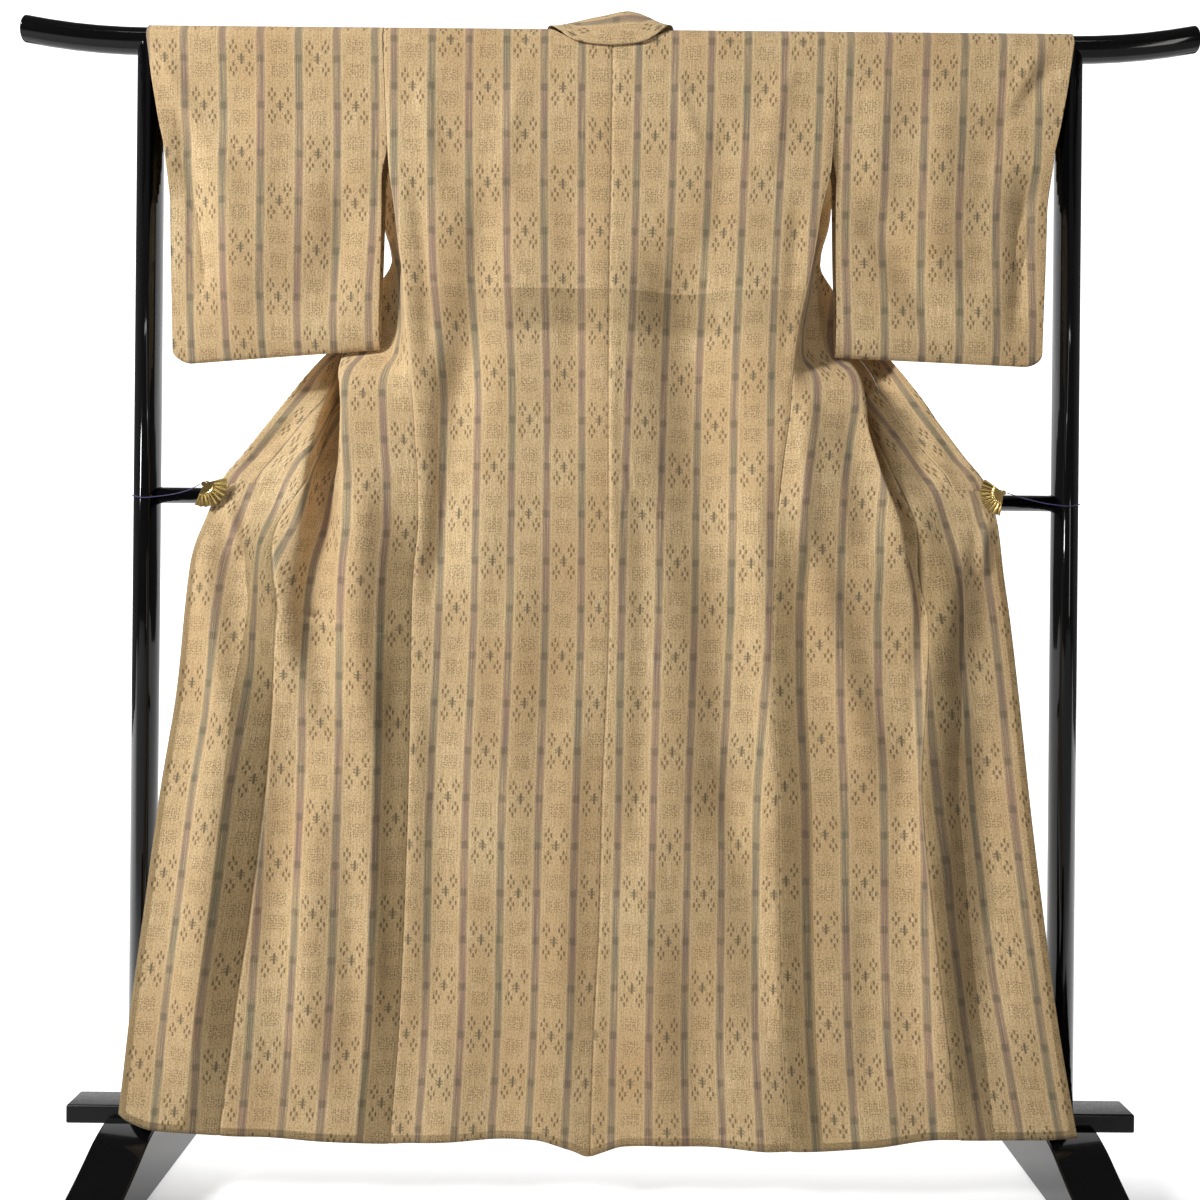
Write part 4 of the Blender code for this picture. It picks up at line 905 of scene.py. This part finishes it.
# Steps of the silk's pattern, each a result, an operation and its inputs: a name is an earlier result, and an
# exclamation mark keeps the result between 0 and 1. Lengths are millimetres in a cell whose sides are the
# stripes' middles and whose height is one figure. Threads are 0.3 mm, and dots, dashes and edges one or two
# threads wide are drawn 1 to 3 mm wide so that they show.
SILK_STEPS = (
    ("feather", "SUBTRACT", "thread", 0.5),
    ("streak", "MULTIPLY_ADD!", "streaks", 2.6, -0.55),
    ("tint", "MULTIPLY_ADD!", "tints", 4.0, -1.5),
    ("slub_share", "MULTIPLY_ADD!", "slub", 3.4, -1.2),
    ("cloud_share", "MULTIPLY_ADD!", "clouds", 1.4, -0.35),
    ("fine_share", "MULTIPLY_ADD!", "fine", 3.2, -1.35),
    ("height", "MULTIPLY_ADD", "slub", 0.7, "fine_share"),
    ("column", "FLOOR", "u"),
    ("part", "SUBTRACT", "u", "column"),
    ("x", "MULTIPLY_ADD", "part", CELL_MM[0], -CELL_MM[0] / 2),
    ("v_drawn", "MULTIPLY_ADD", "feather", 0.06, "v"),
    ("level", "ROUND", "v_drawn"),
    ("rise", "SUBTRACT", "v_drawn", "level"),
    ("y", "MULTIPLY", "rise", CELL_MM[1]),
    ("ax", "ABSOLUTE", "x"),
    ("ay", "ABSOLUTE", "y"),
    ("sum", "ADD", "column", "level"),
    ("odd", "FLOORED_MODULO", "sum", 2.0),
    ("even", "SUBTRACT", 1.0, "odd"),
    # the warp stripe, its two thin light borders and the darker block level with each figure
    ("to_stripe", "SUBTRACT", CELL_MM[0] / 2, "ax"),
    ("stripe", "MULTIPLY_ADD!", "to_stripe", -0.28, 1.9),
    ("stripe_streaked", "MULTIPLY", "stripe", "streak"),
    *away_from("border_away", "to_stripe", 7.2),
    ("border", "MULTIPLY_ADD!", "border_away", -0.9, 1.2),
    ("block_h", "MULTIPLY_ADD!", "ay", -0.45, 2.9),
    ("block", "MULTIPLY", "stripe", "block_h"),
    # figure one: a small cross between four clusters of four short dashes
    *away_from("gx", "ax", 11.0),
    *away_from("gy", "ay", 15.7),
    *away_from("sx", "gx", 3.9),
    *away_from("sy", "gy", 6.6),
    *soft_box("beside", "sx", "gy", 1.3, 3.0, 1.1),
    *soft_box("above", "gx", "sy", 1.3, 3.0, 1.1),
    ("dashes_all", "MAXIMUM", "beside", "above"),
    ("dashes", "MULTIPLY", "dashes_all", "even"),
    *away_from("tick_y", "ay", 1.9),
    *away_from("tick_x", "x", -0.6),
    *soft_box("upright", "ax", "ay", 1.5, 7.5, 1.2),
    *soft_box("ticks", "tick_x", "tick_y", 5.5, 0.9, 1.0),
    ("ticks_faint", "MULTIPLY", "ticks", 0.9),
    ("cross_all", "MAXIMUM", "upright", "ticks_faint"),
    ("cross", "MULTIPLY", "cross_all", "even"),
    # figure two: two squares of fine dots, one above the other
    *away_from("square_y", "ay", 16.5),
    *soft_box("squares", "ax", "square_y", 12.0, 10.0, 2.0),
    ("dot", "MULTIPLY_ADD!", "speck", -8.0, 2.6),
    ("dots_all", "MULTIPLY", "squares", "dot"),
    ("dots", "MULTIPLY", "dots_all", "odd"),
    # painted shade where doubled cloth holds back the light from behind, and at a seam: a dark line of
    # painted shadow at the edge and a pale line of painted highlight where the cloth turns in
    ("double_all", "MULTIPLY_ADD!", "layers", 700.0, 0.5),
    ("double", "MULTIPLY", "double_all", "press"),
    ("seam_line", "MULTIPLY_ADD!", "sewn", -900.0, 1.3),
    *away_from("to_ridge", "sewn", 0.0028),
    ("ridge_line", "MULTIPLY_ADD!", "to_ridge", -700.0, 1.0),
)
# Noises of the silk: scale across and along a cell, detail, roughness. Slubs, about 1 mm wide and 20 to 60 mm
# long, are what shows from a few metres. The fine noise draws the mottle of single threads 2 to 3 mm wide, so
# that it shows.
SILK_NOISES = dict(thread=(40.0, 0.4, 0.0, 0.5), streaks=(70.0, 0.7, 2.0, 0.5), tints=(0.9, 0.42, 2.0, 0.5),
                   slub=(48.0, 1.6, 3.0, 0.6), clouds=(0.35, 0.28, 2.0, 0.5), fine=(21.0, 24.0, 1.0, 0.7))
# What is laid on the ground in turn: colour, share, strength.
SILK_LAYERS = (
    ("ground_pale", "slub_share", 1.0), ("ground_warm", "cloud_share", 1.0), ("speck", "fine_share", 0.5),
    ("ground_pale", "border", 0.28), ("stripe", "stripe_streaked", 1.0), ("figure", "block", 0.42),
    ("dash", "dashes", 0.74), ("figure", "cross", 0.8), ("dash", "dots", 0.62),
    # painted highlight and painted shadow along the seams, then painted shade over doubled silk
    ("ground_pale", "ridge_line", 0.35), ("speck", "seam_line", 0.62), ("second_layer", "double", 0.52),
)
DOT_PITCH = 3.5            # millimetres


def pongee_silk(cloth):
    """Hand-spun pongee silk woven with ikat: dull, slubby, of drifting tint, its figures feathered."""
    material, tree, shader = new_material("pongee_silk", cloth.ground, 0.78, Sheen_Weight=0.12,
                                          Sheen_Roughness=0.5, Specular_IOR_Level=0.25)
    weave = add_node(tree, "UVMap", {"uv_map": "Weave"}).outputs["UV"]
    parts = add_node(tree, "SeparateXYZ", links={"Vector": weave})
    values = {"u": parts.outputs["X"], "v": parts.outputs["Y"]}
    for name in ("layers", "sewn", "press"):
        values[name] = add_node(tree, "Attribute", {"attribute_name": name}).outputs["Fac"]
    dots = add_node(tree, "VectorMath", {"operation": "MULTIPLY"},
                    {0: weave, 1: (CELL_MM[0] / DOT_PITCH, CELL_MM[1] / DOT_PITCH, 1.0)}).outputs[0]
    values["speck"] = add_node(tree, "TexVoronoi", {"voronoi_dimensions": "2D"},
                               {"Vector": dots, "Scale": 1.0, "Randomness": 0.55}).outputs["Distance"]
    for name, (across, along, detail, roughness) in SILK_NOISES.items():
        scaled = add_node(tree, "VectorMath", {"operation": "MULTIPLY"},
                          {0: weave, 1: (across, along, 1.0)})
        values[name] = add_node(tree, "TexNoise", {"noise_dimensions": "2D"},
                                {"Vector": scaled.outputs[0], "Scale": 1.0, "Detail": detail,
                                 "Roughness": roughness}).outputs["Fac"]
    for result, operation, *inputs in SILK_STEPS:
        settings = {"operation": operation.rstrip("!"), "use_clamp": operation.endswith("!")}
        links = {k: values.get(each, each) for k, each in enumerate(inputs)}
        values[result] = add_node(tree, "Math", settings, links).outputs[0]
    stripe = add_node(tree, "Mix", {"data_type": "RGBA"},
                      {0: values["tint"], 6: linear(cloth.stripe_mauve), 7: linear(cloth.stripe_green)})
    tone = linear(cloth.ground)
    for colour, share, strength in SILK_LAYERS:
        shown = values[share]
        if strength < 1:
            shown = add_node(tree, "Math", {"operation": "MULTIPLY"}, {0: shown, 1: strength}).outputs[0]
        laid = stripe.outputs[2] if colour == "stripe" else linear(getattr(cloth, colour))
        way = "MULTIPLY" if colour == "second_layer" else "MIX"
        tone = add_node(tree, "Mix", {"data_type": "RGBA", "blend_type": way},
                        {0: shown, 6: tone, 7: laid}).outputs[2]
    tree.links.new(tone, shader.inputs["Base Color"])
    bump = add_node(tree, "Bump", links={"Height": values["height"], "Strength": 0.35, "Distance": 0.0006})
    tree.links.new(bump.outputs["Normal"], shader.inputs["Normal"])
    return material


def lacquer(name, colour_hex, roughness, coat, wave):
    """Black lacquer on wood: a deep gloss or satin with the faint unevenness of a hand-rubbed coat."""
    material, tree, shader = new_material(name, colour_hex, roughness, Coat_Weight=coat, Coat_Roughness=0.03,
                                          Specular_IOR_Level=0.22)
    place = add_node(tree, "TexCoord").outputs["Object"]
    # waves about 50 mm across, and rubbing marks of 2 mm, coarser than real ones so that they show
    soft, fine = (add_node(tree, "TexNoise", links={"Vector": place, "Scale": scale, "Detail": detail})
                  for scale, detail in ((18.0, 2.0), (420.0, 1.0)))
    rough = add_node(tree, "MapRange", links={
        "Value": fine.outputs["Fac"], "From Min": 0.3, "From Max": 0.7,
        "To Min": roughness * 0.8, "To Max": roughness * 1.25})
    tree.links.new(rough.outputs["Result"], shader.inputs["Roughness"])
    tone = add_node(tree, "Mix", {"data_type": "RGBA"},
                    {0: soft.outputs["Fac"], 6: linear(colour_hex), 7: linear("#0B0B0D")})
    tree.links.new(tone.outputs[2], shader.inputs["Base Color"])
    bump = add_node(tree, "Bump", links={"Height": soft.outputs["Fac"], "Strength": wave,
                                         "Distance": 0.0004})
    tree.links.new(bump.outputs["Normal"], shader.inputs["Normal"])
    return material


def gilt_brass(clips):
    """Stamped gilt brass: bright on the ridges, brown patina down in the grooves."""
    material, tree, shader = new_material("gilt_brass", clips.brass, 0.28, Metallic=1.0)
    groove = add_node(tree, "Attribute", {"attribute_name": "groove"}).outputs["Fac"]
    place = add_node(tree, "TexCoord").outputs["Object"]
    patches = add_node(tree, "TexNoise",
                       links={"Vector": place, "Scale": 260.0, "Detail": 3.0}).outputs["Fac"]
    lift = add_node(tree, "Math", {"operation": "MULTIPLY_ADD"}, {0: patches, 1: 0.5, 2: -0.25})
    dark = add_node(tree, "Math", {"operation": "MULTIPLY_ADD", "use_clamp": True},
                    {0: groove, 1: 0.75, 2: lift.outputs[0]}).outputs[0]
    rough = add_node(tree, "Math", {"operation": "MULTIPLY_ADD"}, {0: dark, 1: 0.25, 2: 0.22})
    tone = add_node(tree, "Mix", {"data_type": "RGBA"},
                    {0: dark, 6: linear(clips.brass), 7: linear(clips.patina)})
    tree.links.new(tone.outputs[2], shader.inputs["Base Color"])
    tree.links.new(rough.outputs[0], shader.inputs["Roughness"])
    bump = add_node(tree, "Bump", links={"Height": patches, "Strength": 0.2, "Distance": 0.0003})
    tree.links.new(bump.outputs["Normal"], shader.inputs["Normal"])
    return material


def rayon_cord(clips):
    """Twisted rayon cord: dark purple with a soft sheen on each strand."""
    material, tree, shader = new_material("rayon_cord", clips.cord, 0.6, Sheen_Weight=0.4,
                                          Sheen_Roughness=0.4)
    place = add_node(tree, "TexCoord").outputs["Object"]
    fibres = add_node(tree, "TexNoise", links={"Vector": place, "Scale": 1500.0, "Detail": 2.0})
    tone = add_node(tree, "Mix", {"data_type": "RGBA"},
                    {0: fibres.outputs["Fac"], 6: linear(clips.cord), 7: linear(clips.cord_light)})
    tree.links.new(tone.outputs[2], shader.inputs["Base Color"])
    return material


# ---- settings, with colours as sRGB hex values
class ClothSettings(bpy.types.PropertyGroup):
    ground: StringProperty(name="Ground", description="Silk ground", default="#C9AB7A")
    # also the colour of the painted highlight along the seams
    ground_pale: StringProperty(name="Pale slub", description="Palest threads", default="#EED2A6")
    ground_warm: StringProperty(name="Warm cloud", description="Warmer parts", default="#C9A576")
    # also the colour of the painted shadow along the seams
    speck: StringProperty(name="Speck", description="Dark specks in the yarn", default="#886A44")
    stripe_mauve: StringProperty(name="Mauve stripe", description="Stripe's red side", default="#92766A")
    stripe_green: StringProperty(name="Green stripe", description="Stripe's green side", default="#827B66")
    figure: StringProperty(name="Figure", description="Crosses and blocks", default="#5A5341")
    dash: StringProperty(name="Dash", description="Dashes and dots", default="#5E4A30")
    # painted shade over doubled silk, where the layer behind holds back light
    second_layer: StringProperty(name="Second layer", description="Tone over doubled silk", default="#ACA99B")
    across: IntProperty(name="Columns", description="Columns across one width of cloth", default=54, min=12)


class StandSettings(bpy.types.PropertyGroup):
    gloss: StringProperty(name="Gloss lacquer", description="Rails, posts and feet", default="#050506")
    satin: StringProperty(name="Satin lacquer", description="Base board", default="#121214")
    rounding: FloatProperty(name="Edge rounding", description="Radius of the edges of wood", default=0.003,
                            unit="LENGTH")
    sides: IntProperty(name="Sides", description="Sides of a round bar", default=48, min=12)


class ClipSettings(bpy.types.PropertyGroup):
    brass: StringProperty(name="Brass", description="Bright gilt brass", default="#E0C078")
    patina: StringProperty(name="Patina", description="Brass in the grooves", default="#4A3312")
    cord: StringProperty(name="Cord", description="Dark strands", default="#241A46")
    cord_light: StringProperty(name="Cord light", description="Light strands", default="#4A3A78")
    lay: FloatProperty(name="Lay", description="Length of one turn of the cord's twist", default=0.004,
                       unit="LENGTH")


class StageSettings(bpy.types.PropertyGroup):
    floor: StringProperty(name="Floor", description="Floor and backdrop", default="#D6D6D6")
    key: FloatProperty(name="Key light", description="Power of the large soft light", default=236.0,
                       unit="POWER")
    fill: FloatProperty(name="Fill light", description="Power of the second light", default=14.0,
                        unit="POWER")
    strip: FloatProperty(name="Strip light", description="Power of the long light overhead", default=9.0,
                         unit="POWER")
    sky: FloatProperty(name="Surround", description="Brightness of the surround", default=0.10)
    lens: FloatProperty(name="Lens", description="Focal length", default=38.57, unit="CAMERA")


# ---- operators
class KIMONO_OT_stage(bpy.types.Operator):
    """Adds the pale floor and backdrop, the soft lights and the camera"""
    bl_idname = "kimono.stage"
    bl_label = "Stage"

    def execute(self, context):
        stage = context.scene.kimono_stage
        link = context.scene.collection.objects.link
        # depth and height of the floor, the curve of radius 1.2 m that leads up from it, and the wall
        turn = np.linspace(0, math.pi / 2, 13)
        curve = np.stack([2.4 + 1.2 * np.sin(turn), 1.2 - 1.2 * np.cos(turn)], axis=1)
        line = np.concatenate([[(y, 0.0) for y in (-4.0, -0.3, 0.1, 0.99, 1.0, 1.8)], curve, [(3.6, 6.0)]])
        across = np.where(line[:, 0] < 1.0, 8.0, 2.8)    # a wide floor, and a wall just wider than the view
        grid = np.array([np.insert(line, 0, half, axis=1) for half in (-across, across)])
        mesh = bpy.data.meshes.new("backdrop")
        mesh.from_pydata(grid.reshape(-1, 3).tolist(), [], grid_faces(2, len(line)).tolist())
        mesh.shade_smooth()
        # paper that glows from just behind the stand on, so that the backdrop turns white
        paper, tree, shader = new_material("backdrop_paper", stage.floor, 0.9, Specular_IOR_Level=0.1)
        shader.inputs["Emission Color"].default_value = (1.0, 1.0, 1.0, 1.0)
        place = add_node(tree, "TexCoord").outputs["Object"]
        depth = add_node(tree, "SeparateXYZ", links={"Vector": place}).outputs["Y"]
        glow = add_node(tree, "MapRange", links={"Value": depth, "From Min": -0.16, "From Max": 0.10,
                                                 "To Min": 0.05, "To Max": 0.98}).outputs["Result"]
        tree.links.new(glow, shader.inputs["Emission Strength"])
        mesh.materials.append(paper)
        backdrop = bpy.data.objects.new("backdrop", mesh)
        link(backdrop)
        world = bpy.data.worlds.new("surround")
        world.use_nodes = True
        background = world.node_tree.nodes["Background"]
        background.inputs["Color"].default_value = (1, 1, 1, 1)
        background.inputs["Strength"].default_value = stage.sky
        context.scene.world = world
        for name, place, aim, size, power, tint in (
            ("key_light", (-3.6, -2.3, 3.2), (0, 0, 1.3), (0.9, 0.9), stage.key, (0.97, 0.99, 1.0)),
            ("strip_light", (0, -1.5, 3.6), (0, 0, 1.4), (3.0, 0.12), stage.strip, (1.0, 1.0, 1.0)),
            ("fill_light", (2.5, -3.4, 1.3), (0, 0, 0.9), (0.35, 2.0), stage.fill, (1.0, 0.97, 0.92)),
        ):
            lamp = bpy.data.lights.new(name, "AREA")
            lamp.shape = "RECTANGLE"
            lamp.size, lamp.size_y = size
            lamp.energy = power
            lamp.color = tint
            made = bpy.data.objects.new(name, lamp)
            made.location = place
            x, y, z = (a - b for a, b in zip(aim, place))
            up = math.atan2(z, math.hypot(x, y))
            made.rotation_euler = (math.pi / 2 + up, 0.0, math.atan2(y, x) - math.pi / 2)
            link(made)
        camera = bpy.data.cameras.new("camera")
        camera.lens = stage.lens
        camera.sensor_width = 36.0
        view = bpy.data.objects.new("camera", camera)
        view.location = (-0.007, -1.8, 0.819)
        view.rotation_euler = (math.pi / 2, math.radians(-0.54), 0.0)
        link(view)
        context.scene.camera = view
        context.scene.view_settings.view_transform = "Standard"
        return {"FINISHED"}


class KIMONO_OT_body(bpy.types.Operator):
    """Builds the two body lengths, each up the back, over the rail and down the front"""
    bl_idname = "kimono.body"
    bl_label = "Body lengths"

    def execute(self, context):
        for front in FRONTS:
            piece = cloth_piece("body_" + front.name, body_sheet(front, context.scene.kimono_cloth.across))
        return {"FINISHED"}


class KIMONO_OT_okumi(bpy.types.Operator):
    """Builds the overlap that widens each front"""
    bl_idname = "kimono.okumi"
    bl_label = "Okumi"

    def execute(self, context):
        for front in FRONTS:
            piece = cloth_piece("okumi_" + front.name, okumi_sheet(front, 26))
        return {"FINISHED"}


class KIMONO_OT_sleeves(bpy.types.Operator):
    """Builds the two sleeves, flat tubes over the rail"""
    bl_idname = "kimono.sleeves"
    bl_label = "Sleeves"

    def execute(self, context):
        for front in FRONTS:
            piece = cloth_piece("sleeve_" + front.name, sleeve_sheet(front, 52, 78), ring=True)
        return {"FINISHED"}


class KIMONO_OT_collar(bpy.types.Operator):
    """Builds the collar strip round the neck and down both fronts"""
    bl_idname = "kimono.collar"
    bl_label = "Collar"

    def execute(self, context):
        piece = cloth_piece("collar", collar_sheet(13))
        return {"FINISHED"}


class KIMONO_OT_stand(bpy.types.Operator):
    """Rebuilds the stand's bars, feet and board with round sections and softened edges"""
    bl_idname = "kimono.stand"
    bl_label = "Stand"

    def execute(self, context):
        stand = context.scene.kimono_stand
        gloss = lacquer("black_gloss_lacquer", stand.gloss, 0.09, 0.25, 0.04)
        satin = lacquer("black_satin_lacquer", stand.satin, 0.34, 0.1, 0.2)

        def bar(name, rings, node):
            new_piece(name, *closed_rings(rings), gloss, "gloss_lacquer", node)

        ends = through([(x, 0.0, RAIL_HEIGHT + rise) for x, rise in RAIL_BENDS], 24)
        path = np.concatenate([ends[::-1] * np.array([-1, 1, 1]), ends])
        bar("top_rail_round", rod_rings(path, ROD_RADIUS, stand.sides, stand.rounding), "top_rail")
        bar("middle_rail_round", coped_rings(
            MIDDLE_RADIUS, stand.sides, -POST_X, POST_X, True,
            lambda side, depth, at: np.stack([at, depth, MIDDLE_HEIGHT + side], axis=1)), "middle_rail")
        new_piece("base_board_eased", *closed_rings(board_rings(stand.rounding)), satin, "satin_lacquer",
                  "base_board")
        outline = foot_outline()
        count = len(outline)
        for front in FRONTS:
            x = front.sign * POST_X
            bar("post_round_" + front.name, coped_rings(
                ROD_RADIUS, stand.sides, BOARD_UNDER + BOARD_THICK + JOINT_GAP, RAIL_HEIGHT, False,
                lambda side, depth, at: np.stack([x - side, depth, np.minimum(at, POST_TOP)], axis=1)),
                "post_" + front.name)
            sides = [np.insert(outline, 0, x + half, axis=1) for half in (-FOOT_WIDTH / 2, FOOT_WIDTH / 2)]
            faces = [*grid_faces(2, count, ring=True), range(count)[::-1], range(count, 2 * count)]
            foot = new_piece("foot_arched_" + front.name, np.array(sides), faces, gloss, "gloss_lacquer",
                             "foot_" + front.name)
            eased = foot.modifiers.new("Eased edges", "BEVEL")
            eased.width = stand.rounding
            eased.segments = 4
            eased.limit_method = "ANGLE"
            eased.harden_normals = True
        return {"FINISHED"}


class KIMONO_OT_clips(bpy.types.Operator):
    """Builds the pleated fans and the cords that hold them to the posts, and gives the clips' jaws and pins
    brass
    """
    bl_idname = "kimono.clips"
    bl_label = "Clips and cords"

    def execute(self, context):
        clips = context.scene.kimono_clips
        brass = gilt_brass(clips)
        purple = rayon_cord(clips)
        for front in FRONTS:
            grid, groove = fan_sheet(front, 3)
            fan = new_piece("brass_fan_" + front.name, grid, grid_faces(*grid.shape[:2]), brass,
                            "aged_brass", "clip_fan_" + front.name)
            fan.data.shade_flat()
            add_mark(fan.data, "groove", groove)
            thicken(fan, FAN_PLATE)
            for node_name in ("clip_jaw_", "clip_pin_"):
                node = bpy.data.objects[node_name + front.name]
                node.data.materials.clear()
                node.data.materials.append(brass)
            rings = twisted_rings(cord_path(front, 220), CORD_TWISTED, 12, clips.lay)
            new_piece("purple_cord_" + front.name, *closed_rings(rings), purple, "purple_cord",
                      "clip_cord_" + front.name)
        return {"FINISHED"}


class KIMONO_PT_pieces(bpy.types.Panel):
    """Lists the kimono's operators and settings"""
    bl_label = "Kimono"
    bl_idname = "KIMONO_PT_pieces"
    bl_space_type = "VIEW_3D"
    bl_region_type = "UI"
    bl_category = "Kimono"

    def draw(self, context):
        for operator in OPERATORS:
            self.layout.operator(operator.bl_idname)
        for group in (context.scene.kimono_cloth, context.scene.kimono_stand, context.scene.kimono_clips,
                      context.scene.kimono_stage):
            box = self.layout.box()
            for key in group.__annotations__:
                box.prop(group, key)


OPERATORS = (KIMONO_OT_stage, KIMONO_OT_stand, KIMONO_OT_body, KIMONO_OT_okumi, KIMONO_OT_sleeves,
             KIMONO_OT_collar, KIMONO_OT_clips)
SETTINGS = {"kimono_cloth": ClothSettings, "kimono_stand": StandSettings, "kimono_clips": ClipSettings,
            "kimono_stage": StageSettings}


def register():
    for group in SETTINGS.values():
        bpy.utils.register_class(group)
    for name, group in SETTINGS.items():
        setattr(bpy.types.Scene, name, PointerProperty(type=group))
    for each in (*OPERATORS, KIMONO_PT_pieces):
        bpy.utils.register_class(each)


def unregister():
    for each in (*OPERATORS, KIMONO_PT_pieces):
        bpy.utils.unregister_class(each)
    for name, group in SETTINGS.items():
        delattr(bpy.types.Scene, name)
        bpy.utils.unregister_class(group)


def main():
    register()
    bpy.ops.kimono.stage()
    bpy.ops.kimono.stand()
    bpy.ops.kimono.body()
    bpy.ops.kimono.okumi()
    bpy.ops.kimono.sleeves()
    bpy.ops.kimono.collar()
    bpy.ops.kimono.clips()


if __name__ == "__main__":
    main()
